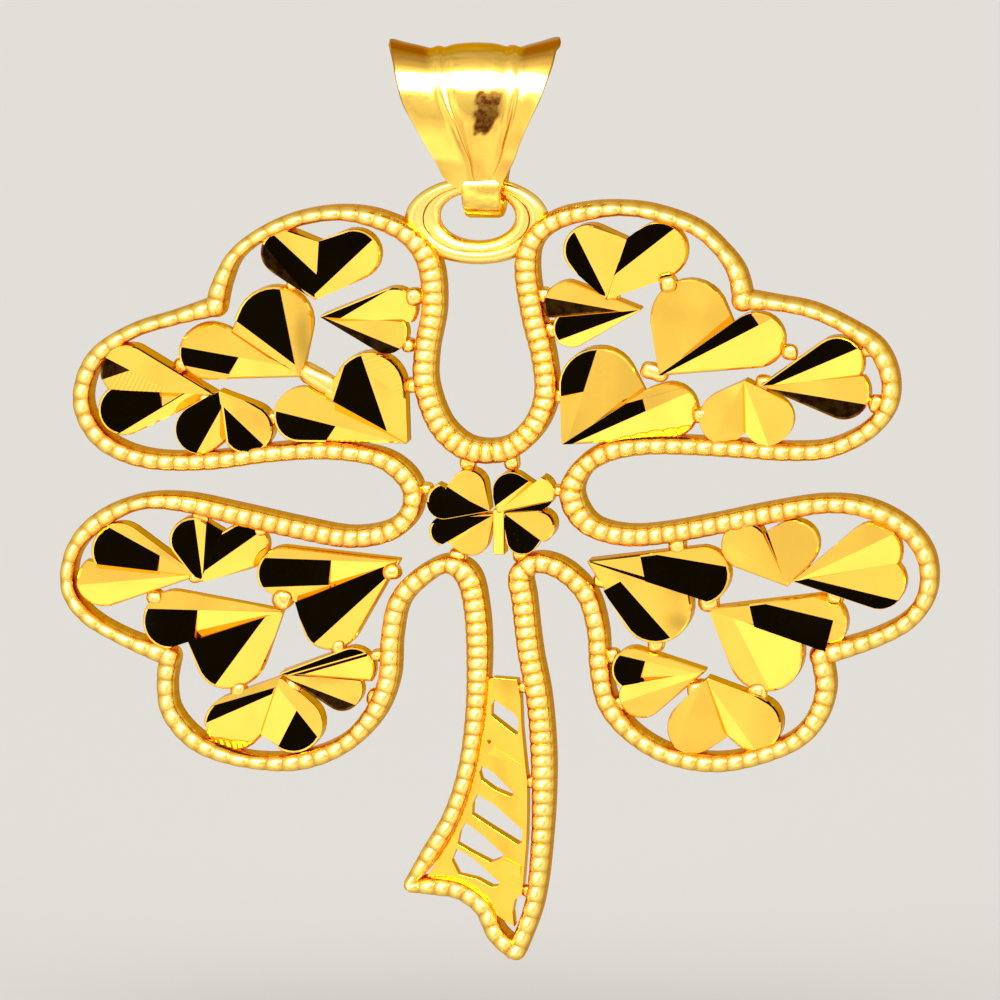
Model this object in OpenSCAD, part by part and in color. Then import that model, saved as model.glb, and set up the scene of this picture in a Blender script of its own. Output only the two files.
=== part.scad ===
// Four-leaf clover pendant: a ridged wire outline filled with cut hearts, with a pierced stem,
// hung by an oval eyelet from a flared bail.
// Millimetres. x runs to the right, z up, and the front faces negative y.
// The origin is the chain's seat, inside the top of the bail.

/* [Outline wire] */
// Width of the ridged wire seen from the front
wire_w = 0.78; // [0.7:0.01:0.86]
// Depth of the ridged wire from front to back
wire_d = 1.3; // [1.1:0.05:1.4]

/* [Hearts] */
// Depth of a heart from its back to its ridges
heart_d = 0.95; // [0.85:0.05:1.05]
// Slope of the cut on the outer side of a lobe, in degrees
outer_cut = 20; // [14:1:24]
// Slope of the cut next to the middle line of a heart, in degrees
inner_cut = 8; // [4:1:12]

/* [Stem] */
// Depth of the pierced panel between the stem's legs
panel_d = 0.6; // [0.5:0.05:0.8]

/* [Eyelet] */
// Width of the oval eyelet
eye_w = 4.75; // [4.6:0.05:4.9]
// Height of the oval eyelet
eye_h = 2.8; // [2.7:0.05:2.9]
// Thickness of the eyelet's metal at the top, where it hangs
eye_top = 0.5; // [0.42:0.01:0.52]
// Depth of the eyelet from front to back
eye_d = 0.54; // [0.48:0.02:0.58]

/* [Bail] */
// Thickness of the bail's sheet
sheet_t = 0.3; // [0.28:0.01:0.36]
// Outer radius of the round loop that holds the eyelet
loop_r = 1.08; // [1.05:0.01:1.12]
// Radius of the bore of that loop
bore_r = 0.67; // [0.64:0.01:0.7]
// Width of that loop
loop_w = 1.34; // [1.25:0.01:1.4]
// Height that the rib down the middle of the bail stands proud
rib_h = 0.13; // [0.05:0.01:0.18]
// Height that the horns of the bail flare out at its top
flare_h = 0.28; // [0.15:0.01:0.35]

/* [Hidden] */
gold = "#e8b93a";

// Height of the axis that the eyelet swings about, through the bore of the loop
axis_z = -4.35;
// Steps between two rows of a table when a curve is drawn through them
curve_steps = 2;
// Slightly more than nothing, for cuts that run past a face
over = 0.1;

// Share of a heart's depth that lies in front of the wire's middle plane
heart_ahead = 0.58;
// Radius of the point of a heart
tip_r = 0.06;
// How far a heart's notch lies past the middle between its lobes
notch_out = 0.35;
// Depth of the solder joints between the hearts
joint_d = heart_d * 0.8;
// Depth of the solder joints at the wire's corners
corner_d = wire_d * 0.94;

// Section of the wire, in shares of its width and its depth
WIRE_SECTION = [
    [-0.5, -0.26], [-0.28, -0.5], [0.28, -0.5], [0.5, -0.26],
    [0.5, 0.26], [0.28, 0.5], [-0.28, 0.5], [-0.5, 0.26]
];

// Centre line of the wire, in six runs that meet at sharp corners.
// Columns: x, z, width as a share of wire_w.
UPPER_RUN = [
    [-8.9, -8.3, 1], [-8.7, -7.55, 1], [-8.25, -6.65, 0.98], [-7.35, -5.95, 0.9], [-6.15, -5.45, 0.74],
    [-4.8, -5.25, 0.7], [-3.55, -5.45, 0.84], [-2.45, -6, 1], [-1.8, -6.9, 1.05], [-1.65, -8.35, 1.05],
    [-1.9, -9.85, 1.1], [-1.9, -11, 1.1], [-1.45, -12.25, 1.06], [-0.7, -13, 1], [0.15, -13.2, 0.96],
    [1, -13, 1], [1.75, -12.25, 1.06], [2.1, -11.25, 1.1], [2, -10, 1.1], [1.65, -8.55, 1.05],
    [1.45, -7, 1.05], [1.7, -6.1, 1], [2.4, -5.5, 0.86], [3.45, -5.2, 0.72], [4.6, -5.1, 0.66],
    [5.75, -5.25, 0.76], [7.1, -5.75, 0.92], [7.95, -6.5, 0.98], [8.45, -7.25, 1], [8.65, -8.15, 1]
];
RIGHT_RUN = [
    [8.65, -8.15, 1], [9.7, -8.25, 0.8], [10.95, -8.5, 0.72], [12.15, -9.05, 0.84], [13.1, -9.75, 0.96],
    [13.55, -10.75, 0.96], [13.45, -11.75, 0.94], [12.75, -12.55, 0.92], [11.55, -13.1, 0.88],
    [10.2, -13.2, 0.84], [8.55, -13.1, 0.84], [6.85, -13, 0.84], [5.35, -13, 0.84], [4.15, -13.2, 0.9],
    [3.35, -13.7, 1.04], [2.95, -14.45, 1.12], [3.15, -15.2, 1.1], [3.75, -15.75, 1], [4.85, -16, 0.92],
    [6.2, -15.9, 0.92], [7.85, -15.6, 0.9], [9.55, -15.25, 0.84], [11.35, -14.95, 0.84],
    [12.8, -15.1, 0.88], [14.05, -15.75, 1], [14.75, -16.7, 1], [14.8, -17.85, 0.98],
    [14.25, -18.75, 0.94], [13.1, -19.4, 0.9], [11.25, -20, 0.96]
];
LOWER_RIGHT_RUN = [
    [11.25, -20, 1], [11.4, -21.15, 0.94], [10.95, -22.3, 0.94], [9.95, -23.05, 0.92],
    [8.05, -23.55, 0.82], [6.35, -23.35, 0.86], [5.05, -22.65, 0.96], [4.2, -21.65, 1],
    [3.9, -20.45, 1], [3.8, -19.1, 1.02], [3.45, -17.95, 1.04], [2.65, -17.15, 0.98], [1.8, -16.9, 0.9],
    [1.25, -17.3, 0.98], [1.35, -18.15, 1.04], [1.55, -19.85, 1.04], [1.85, -21.5, 1.04],
    [2, -23.65, 1.04], [1.95, -26, 0.98], [1.7, -28.2, 0.9], [1.1, -29.85, 0.8]
];
STEM_FOOT_RUN = [
    [1.1, -29.85, 0.8], [0.45, -29.25, 0.94], [0, -28.35, 1], [-0.75, -27.8, 0.8], [-1.6, -27.65, 0.72],
    [-2.45, -27.65, 0.5]
];
LOWER_LEFT_RUN = [
    [-2.45, -27.6, 0.5], [-1.75, -26.55, 0.84], [-1.05, -25.35, 0.98], [-0.55, -23.85, 1.02],
    [-0.25, -22, 1.04], [-0.15, -20, 1.04], [-0.25, -18.35, 1.04], [-0.55, -17.3, 1], [-1.25, -16.95, 0.88],
    [-2.15, -17.45, 0.98], [-2.8, -18.2, 1.02], [-3.05, -19.35, 1], [-3.15, -20.75, 0.98],
    [-3.65, -21.95, 0.96], [-4.65, -22.95, 0.9], [-6.15, -23.5, 0.82], [-7.95, -23.45, 0.82],
    [-9.45, -22.9, 0.92], [-10.35, -21.95, 0.98], [-10.55, -21, 0.96], [-10.45, -20.05, 1]
];
LEFT_RUN = [
    [-10.45, -20, 0.96], [-11.95, -19.4, 0.88], [-13.2, -18.65, 0.92], [-13.8, -17.7, 0.96],
    [-13.65, -16.5, 0.98], [-12.85, -15.55, 0.92], [-11.45, -14.9, 0.8], [-9.95, -14.9, 0.84],
    [-8.15, -15.3, 0.9], [-6.15, -15.75, 0.9], [-4.45, -16.05, 0.92], [-3.15, -15.85, 1],
    [-2.45, -15.25, 1.06], [-2.35, -14.45, 1.08], [-2.8, -13.8, 1], [-3.65, -13.35, 0.88],
    [-5.3, -13.15, 0.8], [-7.15, -13.25, 0.84], [-9.15, -13.5, 0.9], [-11.15, -13.45, 0.92],
    [-12.55, -12.9, 0.96], [-13.25, -11.95, 0.96], [-13.3, -10.95, 0.92], [-12.8, -9.95, 0.86],
    [-11.7, -9.2, 0.72], [-10.3, -8.75, 0.74], [-8.9, -8.35, 1]
];
RUNS = [UPPER_RUN, RIGHT_RUN, LOWER_RIGHT_RUN, STEM_FOOT_RUN, LOWER_LEFT_RUN, LEFT_RUN];

// Sharp corners where two runs are soldered. Columns: x, z, width as a share of wire_w.
CORNERS = [
    [-8.9, -8.33, 1.1], [8.65, -8.15, 1.1], [11.25, -20, 1], [1.1, -29.85, 0.8],
    [-2.45, -27.63, 0.5], [-10.45, -20.02, 1]
];

// Hearts of the four leaves, six a leaf, each drawn as two lobes that share a tip.
// Columns: tip x, tip z, first lobe x, z, radius, second lobe x, z, radius.
UPPER_LEFT_HEARTS = [
    [-5.55, -8.05, -6.65, -6.6, 0.8, -4.2, -6.75, 0.9],
    [-5.3, -8.65, -2.95, -8.45, 0.75, -3.15, -9.25, 0.65],
    [-6.1, -10.65, -6.9, -8.95, 1.2, -9.15, -9.85, 0.95],
    [-2.55, -12.85, -3.75, -11.05, 1.2, -6.05, -11.95, 0.9],
    [-8.95, -11.25, -11.8, -10.5, 0.9, -11.9, -11.75, 0.85],
    [-8.75, -11.2, -9.35, -12.4, 0.85, -7.8, -12.4, 0.85]
];
UPPER_RIGHT_HEARTS = [
    [4.15, -8.05, 3.55, -6.45, 0.85, 5.9, -6.6, 1],
    [5.2, -8.45, 2.8, -8.25, 0.75, 3, -9.05, 0.65],
    [5.95, -10.55, 6.85, -8.75, 1.3, 9.1, -9.5, 0.95],
    [2.75, -12.85, 3.85, -10.95, 1.25, 6.2, -11.85, 0.95],
    [9.35, -10.95, 11.8, -10.25, 0.9, 12.05, -11.25, 0.85],
    [8.75, -10.85, 8.05, -12.05, 0.85, 9.6, -12.15, 0.85]
];
LOWER_LEFT_HEARTS = [
    [-9.55, -17.3, -12.1, -16.45, 0.9, -12.6, -17.45, 0.9],
    [-9.35, -17.45, -9.65, -16.1, 0.75, -7.95, -16.35, 0.8],
    [-2.85, -16.85, -6.65, -17.2, 0.85, -5.35, -18.75, 0.9],
    [-6.75, -18.55, -10.35, -18.75, 0.9, -8.4, -19.95, 1.15],
    [-6.65, -20.55, -4.35, -20.45, 0.75, -4.65, -21.15, 0.65],
    [-6.75, -20.75, -8.3, -22.25, 0.95, -6.25, -22.25, 0.95]
];
LOWER_RIGHT_HEARTS = [
    [3.55, -16.85, 7.3, -17.3, 0.95, 5.8, -18.35, 1.2],
    [10.15, -17.6, 8.75, -16.3, 0.8, 10.35, -16.3, 0.85],
    [10.45, -17.45, 12.95, -16.6, 0.9, 13.25, -17.55, 0.85],
    [7.55, -18.45, 11.2, -18.9, 0.95, 9.55, -19.95, 1.25],
    [7.35, -20.5, 5, -20.4, 0.7, 5.25, -21.2, 0.7],
    [7.5, -20.75, 6.95, -22.35, 0.95, 9.2, -22.25, 0.95]
];
// Hearts of the small clover in the middle, in the same columns
MIDDLE_HEARTS = [
    [0.2, -15.1, -0.45, -14.35, 0.6, -1.25, -14.8, 0.6],
    [0.55, -15.15, 0.95, -14.45, 0.6, 1.8, -14.55, 0.6],
    [0.8, -15.25, 1.9, -15.65, 0.55, 1.35, -16.05, 0.55],
    [0.35, -15.3, -1.25, -15.8, 0.5, -0.35, -16.1, 0.55]
];

// Solder joints between hearts and to the wire. Columns: x, z, radius.
UPPER_JOINTS = [
    [-6.35, -7.6, 0.24], [-10.05, -10.35, 0.27], [-5.5, -10.75, 0.46], [-9.25, -11.4, 0.22],
    [-7.05, -12.1, 0.24], [-2.3, -8.05, 0.3], [-2.4, -11, 0.27], [-2.5, -9.65, 0.24],
    [4.25, -7.95, 0.3], [6.15, -7.6, 0.3], [5.6, -10.7, 0.46], [2, -8, 0.27], [2.2, -9.15, 0.3],
    [10.2, -9.9, 0.27], [7.25, -12, 0.27], [9.35, -10.95, 0.3], [2.55, -11.35, 0.27],
    [13.1, -11.6, 0.3], [12.85, -9.8, 0.27]
];
LOWER_JOINTS = [
    [-9.6, -17.35, 0.24], [-6.7, -18.1, 0.37], [-10.95, -18.05, 0.27], [-8.15, -21.15, 0.28],
    [-6.4, -21.05, 0.35], [-4.85, -19.7, 0.27], [-3.05, -17.2, 0.3], [-3.6, -21.4, 0.3],
    [-3.55, -20, 0.22], [-9.4, -15.35, 0.3], [-7.4, -15.75, 0.3], [7.5, -18.2, 0.37],
    [5.75, -19.6, 0.3], [9.1, -21.25, 0.35], [7.15, -21.15, 0.35], [10.6, -17.15, 0.27],
    [11.7, -18, 0.3], [6.45, -16.3, 0.3], [4.3, -20, 0.27], [4.5, -21.6, 0.3], [3.55, -16.95, 0.27]
];
MIDDLE_JOINTS = [
    [-0.5, -13.55, 0.3], [0.95, -13.55, 0.28], [-1.9, -14.45, 0.22], [2.5, -14.5, 0.22],
    [-0.85, -16.7, 0.3], [1.25, -16.6, 0.3]
];

// Outline of the stem's panel. Columns: x, z.
PANEL = [
    [0, -20.7], [1.2, -20.7], [1.25, -21.35], [1.35, -22.85], [1.5, -24], [1.45, -26.15], [1.35, -27.5],
    [1.05, -27.95], [0.95, -28.65], [0.2, -28.55], [-0.45, -27.9], [-1.6, -27.65], [-0.95, -26],
    [-0.3, -23.85], [-0.05, -21.5]
];
// Windows cut through the panel. Columns: x, z.
WINDOWS = [
    [[0.45, -21.45], [1.1, -21.9], [1.15, -22.6], [0.25, -21.9]],
    [[-0.05, -23.65], [1.05, -24.5], [0.9, -24.7], [-0.05, -24.15]],
    [[-0.1, -24.65], [1.3, -25.65], [1.3, -26.15], [1.1, -26.25], [-0.35, -25.2]],
    [[-0.5, -25.55], [0.75, -26.55], [0.3, -26.85], [-0.8, -26.2]],
    [[-0.8, -26.4], [0.6, -27.5], [0.4, -27.7], [-0.65, -27.25], [-0.95, -26.95]]
];
// Solder joints between the panel and the right leg. Columns: x, z, radius.
PANEL_JOINTS = [[1.6, -24.2, 0.25], [1.45, -27.6, 0.25], [1.3, -20.95, 0.3]];

// Front half of the bail's sheet, from the loop up to the top; the back half mirrors it.
// Columns: y, z, middle x, half width, crease as a share of the half width, flare as a share.
BAIL_ROWS = [
    [-0.8, -4.4, 0, 0.67, 0.1, 0], [-0.95, -4, -0.18, 1.04, 0.12, 0], [-1.18, -3.5, -0.3, 1.34, 0.2, 0.1],
    [-1.5, -2.8, -0.4, 1.64, 0.3, 0.25], [-1.74, -2.1, -0.47, 2, 0.38, 0.45],
    [-1.83, -1.5, -0.48, 2.28, 0.42, 0.65], [-1.78, -0.9, -0.42, 2.46, 0.44, 0.85],
    [-1.5, -0.35, -0.34, 2.66, 0.44, 0.95], [-0.9, 0.03, -0.29, 2.78, 0.44, 1], [0, 0.15, -0.28, 2.8, 0.44, 1]
];
// Places across the bail: 0 is the middle, 1 the crease and 2 the edge
BAIL_PLACES = [-2, -1.67, -1.33, -1, -0.5, 0, 0.5, 1, 1.33, 1.67, 2];

// Point at share t between b and c on a curve through a, b, c and d
function curve_point(a, b, c, d, t) =
    0.5 * (2 * b + (c - a) * t + (2 * a - 5 * b + 4 * c - d) * t * t + (3 * b - a - 3 * c + d) * t * t * t);

// Rows of a table with more rows between them, on a smooth curve
function smooth_rows(rows) = let (last = len(rows) - 1) [
    for (i = [0:last - 1]) for (s = [0:curve_steps - 1])
        curve_point(rows[max(i - 1, 0)], rows[i], rows[i + 1], rows[min(i + 2, last)], s / curve_steps),
    rows[last]
];

// Direction of a path of rows at row i, in its first two columns, as a unit vector
function heading(rows, i) =
    let (a = rows[max(i - 1, 0)], b = rows[min(i + 1, len(rows) - 1)], v = [b[0] - a[0], b[1] - a[1]])
    v / norm(v);

// Faces of a grid of rings that closes round each ring
function ring_faces(rings, sides) = [
    for (k = [0:rings - 2]) for (i = [0:sides - 1])
        [k * sides + i, k * sides + (i + 1) % sides, (k + 1) * sides + (i + 1) % sides, (k + 1) * sides + i]
];

// Solid between y = front and y = back with the outline of its children in x and z
module plate(front, back) {
    translate([0, back, 0])
        rotate([90, 0, 0])
            linear_extrude(height = back - front)
                children();
}

// One run of the ridged wire
module wire_run(rows) {
    path = smooth_rows(rows);
    sides = len(WIRE_SECTION);
    points = [
        for (i = [0:len(path) - 1]) let (h = heading(path, i), w = path[i][2] * wire_w)
            for (s = WIRE_SECTION) [path[i][0] - h[1] * s[0] * w, s[1] * wire_d, path[i][1] + h[0] * s[0] * w]
    ];
    first_cap = [for (i = [sides - 1:-1:0]) i];
    last_cap = [for (i = [0:sides - 1]) (len(path) - 1) * sides + i];
    polyhedron(points, concat([first_cap, last_cap], ring_faces(len(path), sides)));
}

// Round solder joint that runs from front to back
module solder(place, depth) {
    translate([place[0], 0, place[1]])
        rotate([90, 0, 0])
            cylinder(r = place[2], h = depth, center = true, $fn = 6);
}

// Ridged wire round the leaves and the stem
module outline_wire() {
    color(gold) {
        for (run = RUNS)
            wire_run(run);
        for (c = CORNERS)
            solder([c[0], c[1], c[2] * wire_w / 2], corner_d);
    }
}

// One lobe of a heart: its outline under a ridge that runs from the tip through the lobe
module lobe(tip, place, r, other) {
    front = -heart_d * heart_ahead;
    back = front + heart_d;
    along = (place - tip) / norm(place - tip);
    turn = atan2(-along[0], -along[1]);
    across = [cos(turn), -sin(turn)];
    middle = (place + other) / 2;
    notch = middle + (middle - tip) / norm(middle - tip) * notch_out;
    inner_side = (other - tip) * across > 0 ? 1 : -1;
    reach = r + 0.3;
    slope = function (side) tan(side == inner_side ? inner_cut : outer_cut);
    intersection() {
        plate(front - over, back)
            hull() {
                translate(place) circle(r = r, $fn = 14);
                translate(tip) circle(r = tip_r, $fn = 3);
                translate(notch) circle(r = tip_r, $fn = 3);
            }
        translate([tip[0], 0, tip[1]])
            rotate([0, turn, 0])
                rotate([180, 0, 0])
                    translate([0, 0, -0.5])
                        linear_extrude(height = norm(place - tip) + r + 1)
                            polygon([
                                [-reach, -back - over], [-reach, -front - reach * slope(-1)], [0, -front],
                                [reach, -front - reach * slope(1)], [reach, -back - over]
                            ]);
    }
}

// Heart of two lobes from one row of a table
module heart(row) {
    tip = [row[0], row[1]];
    first = [row[2], row[3]];
    second = [row[5], row[6]];
    lobe(tip, first, row[4], second);
    lobe(tip, second, row[7], first);
}

// The 24 hearts that fill the leaves
module leaf_hearts() {
    color(gold) {
        for (row = concat(UPPER_LEFT_HEARTS, UPPER_RIGHT_HEARTS, LOWER_LEFT_HEARTS, LOWER_RIGHT_HEARTS))
            heart(row);
        for (place = concat(UPPER_JOINTS, LOWER_JOINTS))
            solder(place, joint_d);
    }
}

// Small clover in the middle, with its own short stem
module middle_clover() {
    strip_w = 0.4;
    strip_h = 1.5;
    strip_d = 0.8;
    color(gold) {
        for (row = MIDDLE_HEARTS)
            heart(row);
        for (place = MIDDLE_JOINTS)
            solder(place, joint_d);
        plate(-strip_d / 2, strip_d / 2)
            translate([0.35, -16.6])
                square([strip_w, strip_h]);
    }
}

// Panel between the legs of the stem, with slanted windows cut through
module stem_panel() {
    color(gold) {
        difference() {
            plate(-panel_d / 2, panel_d / 2)
                polygon(PANEL);
            for (window = WINDOWS)
                plate(-panel_d / 2 - over, panel_d / 2 + over)
                    polygon(window);
        }
        for (place = PANEL_JOINTS)
            solder(place, panel_d);
    }
}

// Ellipse in x and z
module oval(middle, width, height) {
    translate(middle)
        scale([width / 2, height / 2])
            circle(r = 1, $fn = 32);
}

// Oval eyelet with a stepped rim, thin at the top where it hangs in the bail
module eyelet() {
    top_z = axis_z + eye_top / 2;
    middle = [-0.28, top_z - eye_h / 2];
    hole_w = 2.5;
    hole_h = 1.62;
    hole_middle = [-0.26, top_z - eye_top - hole_h / 2];
    step_w = 3.5;
    step_h = 2.2;
    step_middle = [-0.26, top_z - 0.3 - step_h / 2];
    step_d = 0.08;
    color(gold)
        difference() {
            plate(-eye_d / 2, eye_d / 2)
                oval(middle, eye_w, eye_h);
            plate(-eye_d, eye_d)
                oval(hole_middle, hole_w, hole_h);
            plate(-eye_d, -eye_d / 2 + step_d)
                oval(step_middle, step_w, step_h);
        }
}

// Everything that is soldered together and swings under the bail
module clover() {
    outline_wire();
    leaf_hearts();
    middle_clover();
    stem_panel();
    eyelet();
}

// Height of the bail's face above its sheet's middle, at a place across it
function bail_relief(place, flare) =
    abs(place) < 1 ? rib_h * (1 - place * place) * min(1, flare * 2)
                   : flare_h * flare * pow(abs(place) - 1, 1.6);

// Position across the bail from -1 to 1, for a place and the crease's share
function bail_across(place, crease) =
    abs(place) <= 1 ? place * crease
                    : sign(place) * (crease + (abs(place) - 1) * (1 - crease));

// Points of the bail's inner (side -1) or outer (side 1) face
function bail_points(rows, side) = [
    for (i = [0:len(rows) - 1]) let (h = heading(rows, i), row = rows[i])
        for (place = BAIL_PLACES) let (lift = bail_relief(place, row[5]) + side * sheet_t / 2)
            [row[2] + row[3] * bail_across(place, row[4]), row[0] - h[1] * lift, row[1] + h[0] * lift]
];

// Flared sheet of the bail, from the loop over the chain's seat and back
module bail_sheet() {
    back_rows = [
        for (i = [len(BAIL_ROWS) - 2:-1:0]) let (r = BAIL_ROWS[i])
            [-r[0], r[1], r[2], r[3], r[4], r[5]]
    ];
    rows = smooth_rows(concat(BAIL_ROWS, back_rows));
    n = len(rows);
    m = len(BAIL_PLACES);
    inner = n * m;
    outer_faces = [
        for (k = [0:n - 2]) for (i = [0:m - 2])
            [k * m + i, (k + 1) * m + i, (k + 1) * m + i + 1, k * m + i + 1]
    ];
    inner_faces = [for (f = outer_faces) [for (j = [3:-1:0]) f[j] + inner]];
    left_faces = [for (k = [0:n - 2]) [k * m, k * m + inner, (k + 1) * m + inner, (k + 1) * m]];
    right_faces = [
        for (k = [0:n - 2]) let (a = k * m + m - 1, b = a + m)
            [a, b, b + inner, a + inner]
    ];
    first_faces = [for (i = [0:m - 2]) [i, i + 1, i + 1 + inner, i + inner]];
    last_faces = [
        for (i = [0:m - 2]) let (a = (n - 1) * m + i)
            [a + 1, a, a + inner, a + 1 + inner]
    ];
    polyhedron(
        concat(bail_points(rows, 1), bail_points(rows, -1)),
        concat(outer_faces, inner_faces, left_faces, right_faces, first_faces, last_faces)
    );
}

// Flared bail with the round loop that the eyelet hangs in
module bail() {
    color(gold)
        difference() {
            union() {
                bail_sheet();
                translate([0, 0, axis_z])
                    rotate([0, 90, 0])
                        cylinder(r = loop_r, h = loop_w, center = true, $fn = 64);
            }
            translate([0, 0, axis_z])
                rotate([0, 90, 0])
                    cylinder(r = bore_r, h = loop_w + 2, center = true, $fn = 64);
        }
}

bail();
clover();
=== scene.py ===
"""Looks of the four-leaf clover pendant: a ridged wire filled with diamond-cut hearts, under a flared bail.

Sizes are in millimetres and turned to metres when a piece is finished. x runs to the right, z up, and the
front faces negative y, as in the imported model.
"""

import logging
import math
from collections.abc import Callable, Sequence
from dataclasses import dataclass, field
from enum import Enum

import bmesh
import bpy
from mathutils import Matrix, Vector, noise


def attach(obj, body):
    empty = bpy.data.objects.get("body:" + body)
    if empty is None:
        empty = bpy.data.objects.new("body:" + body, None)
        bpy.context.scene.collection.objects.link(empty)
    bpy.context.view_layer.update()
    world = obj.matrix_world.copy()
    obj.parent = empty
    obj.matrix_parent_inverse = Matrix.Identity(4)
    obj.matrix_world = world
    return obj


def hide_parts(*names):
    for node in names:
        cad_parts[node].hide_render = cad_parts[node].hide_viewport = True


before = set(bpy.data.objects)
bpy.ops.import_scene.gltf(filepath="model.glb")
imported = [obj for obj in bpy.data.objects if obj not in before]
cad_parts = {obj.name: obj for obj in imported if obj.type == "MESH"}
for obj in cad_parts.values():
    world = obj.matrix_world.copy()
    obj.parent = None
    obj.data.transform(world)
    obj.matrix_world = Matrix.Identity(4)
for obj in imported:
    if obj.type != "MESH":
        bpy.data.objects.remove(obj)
LOG = logging.getLogger("pendant")

MM = 0.001
Row = Sequence[float]
Place = Callable[[int, int], Vector]
Mark = Callable[[int, int], float]

# Photograph
PIXELS_A_MM = 30.0
ORIGIN_PIXEL = (484.0, 55.0)


def from_photo(px: float, py: float) -> Vector:
    """Point of the photograph in the drawing's millimetres, which the run and heart tables use.

    Args:
        px: pixels from the photograph's left edge.
        py: pixels from its top edge.
    Returns:
        The point, with y = 0.
    """
    return Vector(((px - ORIGIN_PIXEL[0]) / PIXELS_A_MM, 0.0, (ORIGIN_PIXEL[1] - py) / PIXELS_A_MM))


def direction(azimuth: float, elevation: float) -> Vector:
    """Unit vector towards a viewer at these angles in degrees; azimuth 0 stands in front of the pendant."""
    a, e = math.radians(azimuth), math.radians(elevation)
    return Vector((math.sin(a) * math.cos(e), -math.cos(a) * math.cos(e), math.sin(e)))


@dataclass(frozen=True)
class PhotoCamera:
    """Camera of the photograph: its angle and roll in degrees, its distance in millimetres and its framing.

    The angles come from the side walls that show. The distance is a guess, which the photograph doesn't
    fix. The roll, lens and aim are single values, fitted so that the drawing moves little from the solids.
    """

    azimuth: float = 9.0
    elevation: float = 8.0
    roll: float = 0.6
    distance: float = 300.0
    lens: float = 327.2
    sensor: float = 36.0
    pixels: float = 1000.0
    aim: tuple[float, float, float] = (0.576, 0.0, -14.798)

    def sight(self) -> Vector:
        """Unit vector from the pendant towards the camera."""
        return direction(self.azimuth, self.elevation)

    def place(self) -> Vector:
        """Where the camera stands."""
        return Vector(self.aim) + self.sight() * self.distance

    def axes(self) -> tuple[Vector, Vector]:
        """The picture's own directions, turned by its roll.

        Returns:
            Unit vectors to the right and up.
        """
        a, r = math.radians(self.azimuth), math.radians(self.roll)
        level = Vector((math.cos(a), math.sin(a), 0.0))
        upright = self.sight().cross(level)
        return level * math.cos(r) - upright * math.sin(r), upright * math.cos(r) + level * math.sin(r)

    def on_pendant(self, x: float, z: float) -> Vector:
        """Turns a place in the drawing into the place on the pendant's middle plane that shows there.

        Args:
            x: millimetres to the right in the drawing.
            z: millimetres up.
        Returns:
            The point, with y = 0.
        """
        scale = self.pixels * self.lens / (self.sensor * self.distance)
        right, up = self.axes()
        px, py = ORIGIN_PIXEL[0] + x * PIXELS_A_MM, ORIGIN_PIXEL[1] - z * PIXELS_A_MM
        half = self.pixels / 2
        way = right * ((px - half) / scale) + up * ((half - py) / scale) - self.sight() * self.distance
        eye = self.place()
        return eye - way * (eye.y / way.y)

    def build(self) -> None:
        """Adds the camera to the scene."""
        data = bpy.data.cameras.new("photo_camera")
        data.lens = self.lens
        data.sensor_width = self.sensor
        data.clip_start, data.clip_end = 0.005, 20.0
        camera = bpy.data.objects.new("photo_camera", data)
        camera.location = self.place() * MM
        camera.rotation_mode = "QUATERNION"
        camera.rotation_quaternion = Matrix((*self.axes(), self.sight())).transposed().to_quaternion()
        bpy.context.scene.collection.objects.link(camera)
        bpy.context.scene.camera = camera


CAMERA = PhotoCamera()


# Materials
def linear(code: str) -> tuple[float, float, float, float]:
    """Linear colour of an sRGB hex code.

    Args:
        code: six hex digits, with or without a leading hash.
    Returns:
        Red, green, blue and an alpha of one.
    """
    code = code.lstrip("#")
    shares = [int(code[i:i + 2], 16) / 255 for i in (0, 2, 4)]
    r, g, b = (s / 12.92 if s <= 0.04045 else ((s + 0.055) / 1.055) ** 2.4 for s in shares)
    return r, g, b, 1.0


def add_node(tree: bpy.types.NodeTree, kind: str, inputs: dict | None = None, **settings) -> bpy.types.Node:
    """Adds a node with its settings, and sets or links its inputs.

    Args:
        tree: the node tree it goes into.
        kind: the node's type name.
        inputs: values by input name or number; a socket is linked and anything else is set.
        settings: the node's own properties.
    Returns:
        The new node.
    """
    new = tree.nodes.new(kind)
    for name, value in settings.items():
        setattr(new, name, value)
    for name, value in (inputs or {}).items():
        if isinstance(value, bpy.types.NodeSocket):
            tree.links.new(value, new.inputs[name])
        else:
            new.inputs[name].default_value = value
    return new


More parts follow.
